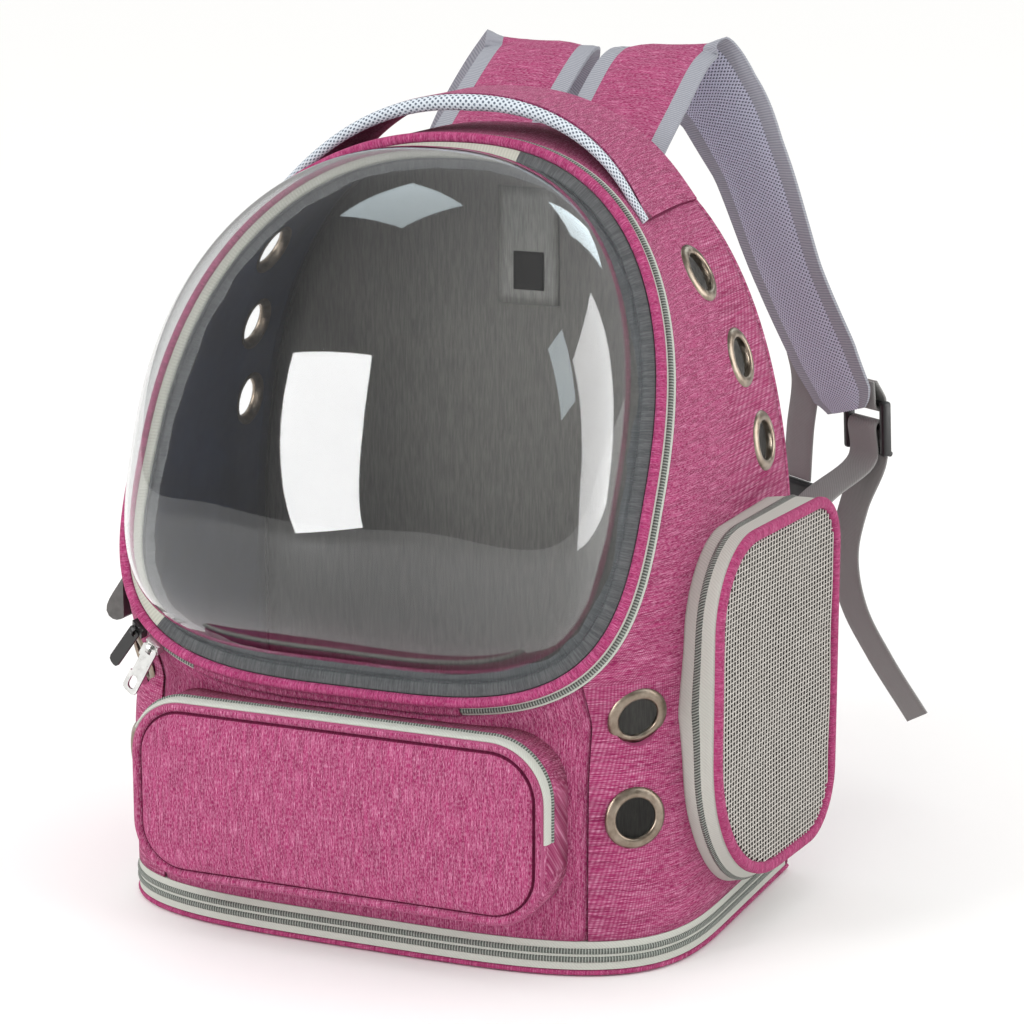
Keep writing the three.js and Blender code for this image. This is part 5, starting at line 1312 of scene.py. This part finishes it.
net_mesh = grid_mesh(net_columns, net_rows, net_place)
centres = {face: face.calc_center_median() / MM for face in net_mesh.faces}
outside = [face for face, centre in centres.items() if not inside_net(centre.y, centre.z)]
bmesh.ops.delete(net_mesh, geom=outside, context="FACES")
shade_sheet_mesh = net_mesh.copy()
net_piece = finish("net", net_mesh, [net_thread], ["net_panel"], closed=False)
threads = net_piece.modifiers.new("threads", "WIREFRAME")
threads.thickness = 1.0 * MM
threads.use_even_offset = False
# A black sheet just behind the net stands for the shade inside the pocket: painted shade.
bmesh.ops.translate(shade_sheet_mesh, verts=shade_sheet_mesh.verts, vec=(-2.2 * MM, 0, 0))
shade_sheet = finish("net_shade_sheet", shade_sheet_mesh, [black_cloth_and_shade], (), closed=False)
wall(shade_sheet, 0.5)

# %% [markdown]
# The carrying handle is a wide band sewn over the crown, with a soft roll of spacer mesh
# under its front edge. It stands up a little in the middle.

# %% Handle
HANDLE_HALF_SPAN = 103
HANDLE_RISE = 17.5
HANDLE_THICKNESS = 2.4
HANDLE_GAP = 0.2
HANDLE_STEPS = 64
HANDLE_COLUMNS = 10
HANDLE_FRONT = 10
HANDLE_REAR = 96.4
handle_share = arch_share(lambda point: point.x > HANDLE_HALF_SPAN)
handle_edges = []
for i in range(HANDLE_STEPS + 1):
    way = between(-1, 1, i / HANDLE_STEPS)
    share = between(1, handle_share, abs(way))
    front = DOOR_UPPER_LINE.at(share).y + HANDLE_FRONT
    depths = (front, between(front, HANDLE_REAR, 0.5), HANDLE_REAR)
    points = [row_at_depth(row_at_share(share), depth) for depth in depths]
    for point in points:
        point.x *= -1 if way < 0 else 1
    lift = HANDLE_RISE * (math.cos(way * math.pi / 2) + 1e-9) ** 1.25
    handle_edges.append((*points, lift))
handle_up = []
for i in range(HANDLE_STEPS + 1):
    along = handle_edges[min(i + 1, HANDLE_STEPS)][2] - handle_edges[max(i - 1, 0)][2]
    along.normalize()
    handle_up.append(Vector((-along.z, 0, along.x)))


def handle_place(i, j):
    """Out along the underside to the rear and back along the top."""
    front_edge, middle, back_edge, lift = handle_edges[i]
    t = (j if j <= HANDLE_COLUMNS else 2 * HANDLE_COLUMNS + 1 - j) / HANDLE_COLUMNS
    flat_point = front_edge * (1 - t) * (1 - 2 * t) + middle * 4 * t * (1 - t) + back_edge * t * (2 * t - 1)
    top = HANDLE_GAP + (0 if j <= HANDLE_COLUMNS else HANDLE_THICKNESS)
    return flat_point + handle_up[i] * (lift + top)


handle_mesh_data = grid_mesh(HANDLE_STEPS, 2 * HANDLE_COLUMNS + 1, handle_place)
fill_ends(handle_mesh_data)
finish("handle_cloth", handle_mesh_data, [heather], ["handle_band"], sharp=50)

roll_frames = []
roll_sizes = []
for i in range(HANDLE_STEPS + 1):
    front_edge, _, _, lift = handle_edges[i]
    share = abs(i / HANDLE_STEPS - 0.5) * 2
    radius = 4.4 * between(1, 0.45, share)
    top = max(lift - 0.2 + 2.6, 2 * radius - 0.2)
    middle = front_edge + handle_up[i] * (top - radius)
    middle.y -= 0.3 + radius
    roll_frames.append((middle, Vector((0, 1, 0)), handle_up[i]))
    roll_sizes.append(radius)
roll_mesh = band_mesh(roll_frames, lambda i: circle(roll_sizes[i], 16))
finish("handle_roll_mesh", roll_mesh, [handle_mesh], ["handle_roll"], sharp=60)

# %% [markdown]
# The shoulder straps rise behind the bag, fold over at the top and hang down. Each is a pad
# with heather cloth outside, spacer mesh inside and a ribbed binding on both edges.

# %% Path helper and straps
def smooth_path(points, t):
    """A centripetal curve through points, at t from 0 to 1."""
    count = len(points) - 1
    position = min(count - 1e-9, max(0.0, t * count))
    k = int(position)
    f = position - k
    p1, p2 = points[k], points[k + 1]
    p0 = points[k - 1] if k > 0 else p1 * 2 - p2
    p3 = points[k + 2] if k + 2 <= count else p2 * 2 - p1
    d0, d1, d2 = [max((b - a).length, 1e-6) ** 0.5 for a, b in ((p0, p1), (p1, p2), (p2, p3))]
    t1 = ((p1 - p0) / d0 - (p2 - p0) / (d0 + d1) + (p2 - p1) / d1) * d1
    t2 = ((p2 - p1) / d1 - (p3 - p1) / (d1 + d2) + (p3 - p2) / d2) * d1
    f2, f3 = f * f, f * f * f
    return p1 * (2 * f3 - 3 * f2 + 1) + t1 * (f3 - 2 * f2 + f) + p2 * (-2 * f3 + 3 * f2) + t2 * (f3 - f2)


def square_to(direction, normal):
    """A direction with its part along another taken out."""
    return (direction - normal * direction.dot(normal)).normalized()


def path_frames(stations, steps):
    """Frames with sizes along stations of (place, side, width, thickness)."""
    places = [s[0] for s in stations]
    frames, sizes = [], []
    for i in range(steps + 1):
        t = i / steps
        place = smooth_path(places, t)
        along = (smooth_path(places, t + 1e-3) - smooth_path(places, t - 1e-3)).normalized()
        at = t * (len(stations) - 1)
        k = min(len(stations) - 2, int(at))
        f = at - k
        across = square_to(stations[k][1].lerp(stations[k + 1][1], f), along)
        frames.append((place, across, along.cross(across)))
        sizes.append([between(stations[k][part], stations[k + 1][part], f) for part in (2, 3)])
    return frames, sizes


SIDES = (("right", 1), ("left", -1))
STRAP_WIDTH = 67
STRAP_THICKNESS = 8
STRAP_FACE = 105.7
STRAP_REACH = 128
STRAP_INNER, STRAP_OUTER = 37.5, 146
STRAP_MIDDLE, STRAP_RISE, STRAP_DROP = 338, 95, 102
STRAP_STEPS = 110
# Shares of the way outwards, back and up, the turn in degrees, and shares of width and thickness
STRAP_ROWS = [
    (0, 0, 0, 0, 1, 0.5), (0, 0, 0.15, 0, 1, 0.55), (0, 0.12, 0.36, 0, 1, 1), (0, 0.5, 0.7, 0, 1, 1),
    (0, 0.84, 0.955, 0, 1, 1), (0.02, 0.97, 0.985, 0, 1, 1), (0.08, 1.04, 0.92, -6, 1, 1),
    (0.25, 1.07, 0.68, -18, 1, 1), (0.42, 1.06, 0.34, -28, 1, 1), (0.66, 1.05, -0.32, -34, 1, 1),
    (0.87, 1.04, -0.76, -34, 0.98, 1), (0.97, 1.04, -0.97, -34, 0.86, 0.9), (1, 1.04, -1.06, -34, 0.55, 0.7),
]


def strap_stations(side_sign):
    stations = []
    for across, back, up, turn, width, thick in STRAP_ROWS:
        height = STRAP_MIDDLE + (STRAP_RISE if up >= 0 else STRAP_DROP) * up
        place = (side_sign * between(STRAP_INNER, STRAP_OUTER, across), STRAP_FACE + STRAP_REACH * back, height)
        angle = math.radians(turn)
        stations.append((Vector(place), Vector((math.cos(angle), side_sign * math.sin(angle), 0)),
                         STRAP_WIDTH * width, STRAP_THICKNESS * thick))
    return stations


STRAP_HALF = [0.3, 0.5, 0.6, 0.66, 0.7, 0.8, 0.9, 0.97, 1]
STRAP_ACROSS = [-share for share in reversed(STRAP_HALF)] + [0] + STRAP_HALF
STRAP_COUNT = len(STRAP_ACROSS)
STRAP_EDGE_ROWS = 4
PAD_EDGE = 0.66
PAD_LIP = 0.97


def pad_height(share):
    """The pad's thickness across its width: a thin lip, a flat binding and a full middle."""
    edge = abs(share)
    if edge >= PAD_LIP:
        return 0.22
    if edge > PAD_EDGE:
        return between(0.34, 0.42, (1 - edge) / (1 - PAD_EDGE))
    return between(0.5, 1.0, math.sin(min(1, (PAD_EDGE - edge) / 0.4) * math.pi / 2))


def strap_section(width, thick, turned):
    top = [(a * width / 2, turned * pad_height(a) * thick / 2) for a in STRAP_ACROSS]
    return top + [(a, -b) for a, b in reversed(top)]


def strap_slot(i, j):
    """Binding along both edges, cloth outside and mesh inside."""
    k = j % STRAP_COUNT
    if k < STRAP_EDGE_ROWS or k > STRAP_COUNT - 2 - STRAP_EDGE_ROWS:
        return 1
    return 0 if j < STRAP_COUNT else 2


for side_name, side_sign in SIDES:
    frames, sizes = path_frames(strap_stations(side_sign), STRAP_STEPS)
    outwards = 1 if frames[20][2].z > 0 else -1
    strap_data = band_mesh(frames, lambda i: strap_section(*sizes[i], outwards), slots=strap_slot)
    strap = finish(f"strap_pad_{side_name}", strap_data, [heather, strap_binding, strap_mesh],
                   [f"strap_{side_name}"], sharp=50)

# %% [markdown]
# Under each strap hangs a ladder lock. A short loop of webbing holds its top bar, and the
# long webbing comes up from the bag's rear corner, over the middle bar and down as a tail.

# %% Locks and webbing
WEBBING_WIDTH = 25
WEBBING_THICKNESS = 1.6
LOCK_WIDTH, LOCK_HEIGHT, LOCK_DEPTH, LOCK_BAR = 37, 32, 3.4, 3.4
WEB_SECTION = [(-12.5, -0.3), (-12.0, -0.8), (-6, -0.8), (0, -0.8), (6, -0.8), (12.0, -0.8), (12.5, -0.3),
               (12.5, 0.3), (12.0, 0.8), (6, 0.8), (0, 0.8), (-6, 0.8), (-12.0, 0.8), (-12.5, 0.3)]


def turn_path(centre, down, out, radius, first_leg, second_leg):
    points = [centre - out * radius + down * first_leg]
    for i in range(5):
        angle = i / 4 * math.pi
        points.append(centre - out * (radius * math.cos(angle)) - down * (radius * math.sin(angle)))
    points.append(centre + out * radius + down * second_leg)
    return points


def webbing_piece(name, stations, steps, node):
    frames, _ = path_frames([(p, s, WEBBING_WIDTH, WEBBING_THICKNESS) for p, s in stations], steps)
    piece = finish(name, band_mesh(frames, WEB_SECTION), [webbing], [node], sharp=50)


def rounded_box(mesh, matrix, size, offset, segments=4):
    made = bmesh.ops.create_cube(mesh, size=1, matrix=matrix @ Matrix.Diagonal((*size, 1)))
    edges = list({edge for corner in made["verts"] for edge in corner.link_edges})
    bmesh.ops.bevel(mesh, geom=edges, offset=offset, segments=segments, profile=0.5, affect="EDGES", material=-1)


def stand(mesh, place, across, up, half_turn=False):
    """Moves a part built round the origin, across +X and up +Y, to its place."""
    turn = Matrix((across, up, across.cross(up))).transposed().to_4x4()
    if half_turn:
        turn = turn @ Matrix.Rotation(math.pi, 4, "Y")
    matrix = Matrix.Scale(MM, 4) @ Matrix.Translation(place) @ turn
    bmesh.ops.transform(mesh, matrix=matrix, verts=mesh.verts)
    return mesh


def lock_mesh(centre, across, down, out):
    """The lock's frame with two slots, and a lip at its lower end to lift it by."""
    mesh = bmesh.new()
    half_wide, half_tall = LOCK_WIDTH / 2, LOCK_HEIGHT / 2
    lying = Matrix.Rotation(math.pi / 2, 4, "Y")
    for height in (half_tall - LOCK_BAR / 2, 0, -half_tall + LOCK_BAR / 2):
        rod(mesh, LOCK_BAR / 2, 2 * (half_wide - 3), 14, Matrix.Translation((0, height, 0)) @ lying)
    for sign in (-1, 1):
        rounded_box(mesh, Matrix.Translation((sign * (half_wide - 2.2), 0, 0)), (5.0, LOCK_HEIGHT, 6.4), 2.0)
    lip = Matrix.Translation((0, -half_tall + 1.4, 3.0)) @ Matrix.Rotation(0.6, 4, "X")
    rounded_box(mesh, lip, (half_wide * 1.75, 3.4, 6.5), 1.5)
    return stand(mesh, centre, across, -down, across.cross(-down).dot(out) < 0)


LOCK_TURN = -34
LOCK_ACROSS, LOCK_REAR, LOCK_UP = 157, BODY_REAR + 141, 222
ANCHOR_ACROSS, ANCHOR_UP = 125, 34
WEBBING_GAP = 0.3
TAIL_DROP = LOCK_UP - 50
# Shares of the way from the anchor to the lock, and from the lock down the tail
RISING = [(0, 0, 0), (0.02, 0.02, 0.1), (0.05, 0.2, 0.34), (0.12, 0.48, 0.6), (0.33, 0.75, 0.78)]
TAIL = [(-0.055, 0.28), (-0.085, 0.45), (-0.05, 0.63), (0.045, 0.8), (0.185, 1)]
for side_name, side_sign in SIDES:
    angle = math.radians(LOCK_TURN)
    across = Vector((math.cos(angle), side_sign * math.sin(angle), 0))
    down = square_to(Vector((side_sign * 0.1, 0, -1)), across)
    out = across.cross(down).normalized()
    if out.y < 0:
        out = -out
    centre = Vector((side_sign * LOCK_ACROSS, LOCK_REAR, LOCK_UP))
    finish(f"lock_{side_name}", lock_mesh(centre, across, down, out), [black_plastic],
           [f"ladder_lock_{side_name}"], sharp=40)
    top_bar = centre - down * (LOCK_HEIGHT / 2 - LOCK_BAR / 2)
    radius = math.hypot(LOCK_BAR, LOCK_DEPTH) / 2 + 0.6 + WEBBING_THICKNESS / 2
    end = strap_stations(side_sign)[-1][0]
    loop = turn_path(top_bar, -down, out, radius, 2, 2)
    stub = top_bar - down * 13
    clear = (STRAP_THICKNESS + WEBBING_THICKNESS) / 2 + WEBBING_GAP
    stub = stub + out * (clear - (stub - end).dot(out))
    stub_far = stub + out * (WEBBING_THICKNESS + WEBBING_GAP)
    webbing_piece(f"lock_loop_{side_name}", [(p, across) for p in [stub, *loop, stub_far]], 48,
                  f"strap_loop_{side_name}")
    behind = BODY_REAR + WEBBING_GAP + WEBBING_THICKNESS / 2
    anchor = Vector((side_sign * ANCHOR_ACROSS, behind, ANCHOR_UP))
    reach = centre - anchor
    stations = []
    for x, back, up in RISING:
        place = anchor + Vector((reach.x * x, reach.y * back, reach.z * up))
        stations.append((place, Vector((1, 0, 0)).lerp(across, back).normalized()))
    for place in turn_path(centre, down, out, radius, LOCK_HEIGHT * 0.6, LOCK_HEIGHT * 0.62):
        stations.append((place, across))
    for x, up in TAIL:
        drop = Vector((side_sign * TAIL_DROP * x, 0, -TAIL_DROP * up))
        stations.append((centre + out * radius + drop, across))
    webbing_piece(f"long_webbing_{side_name}", stations, 160, f"adjuster_webbing_{side_name}")

# %% Chest strap halves
CHEST_ROW = 10
CHEST_LENGTH = 80
CHEST_SEWN = 22
PRONG_TOP = -14


def clip_mesh(place, across, up):
    """One half of the chest buckle: a rounded body with three prongs."""
    mesh = bmesh.new()
    rounded_box(mesh, Matrix.Translation((0, -9, 0)), (31, 17, 7.6), 2.4)
    for a, width, low_end in ((-10, 5, -30), (10, 5, -30), (0, 6, -27)):
        middle = Matrix.Translation((a, (low_end + PRONG_TOP) / 2, 0))
        rounded_box(mesh, middle, (width, PRONG_TOP - low_end, 4.4), 1.3, 3)
    return stand(mesh, place, across, up)


for side_name, side_sign in SIDES:
    stations = strap_stations(side_sign)
    place, across, width, thick = stations[CHEST_ROW]
    along = stations[CHEST_ROW + 1][0] - stations[CHEST_ROW - 1][0]
    normal = along.cross(across).normalized()
    if normal.y < 0:
        normal = -normal
    lift = thick / 2 + WEBBING_GAP + WEBBING_THICKNESS / 2
    top = place + across * -side_sign * (width / 2 - 2) + normal * lift
    sewn = top + square_to(Vector((0, 0, -1)), normal) * CHEST_SEWN
    hang = CHEST_LENGTH - CHEST_SEWN
    lower = sewn + Vector((-side_sign * 0.04 * hang, 0, -0.5 * hang))
    end = sewn + Vector((-side_sign * 0.06 * hang, 0, -hang))
    webbing_piece(f"chest_strap_{side_name}", [(p, across) for p in (top, sewn, lower, end)], 40,
                  f"chest_webbing_{side_name}")
    up = (lower - end).normalized()
    finish(f"chest_clip_{side_name}", clip_mesh(end - up * 0.6, square_to(across, up), up), [black_plastic],
           [f"chest_buckle_{side_name}"], sharp=40)

# %% [markdown]
# Small metal: the CAD sliders and pull tabs have the right shape, so they only get metal.

# %% Sliders, tabs and the side loop
for node, material in (("slider_silver", silver), ("pull_tab_silver", silver), ("slider_black", black_metal),
                       ("pull_tab_black", black_metal), ("side_loop", dark_loop)):
    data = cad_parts[node].data
    data.materials.clear()
    data.materials.append(material)

# %% Last update of the scene
bpy.context.view_layer.update()
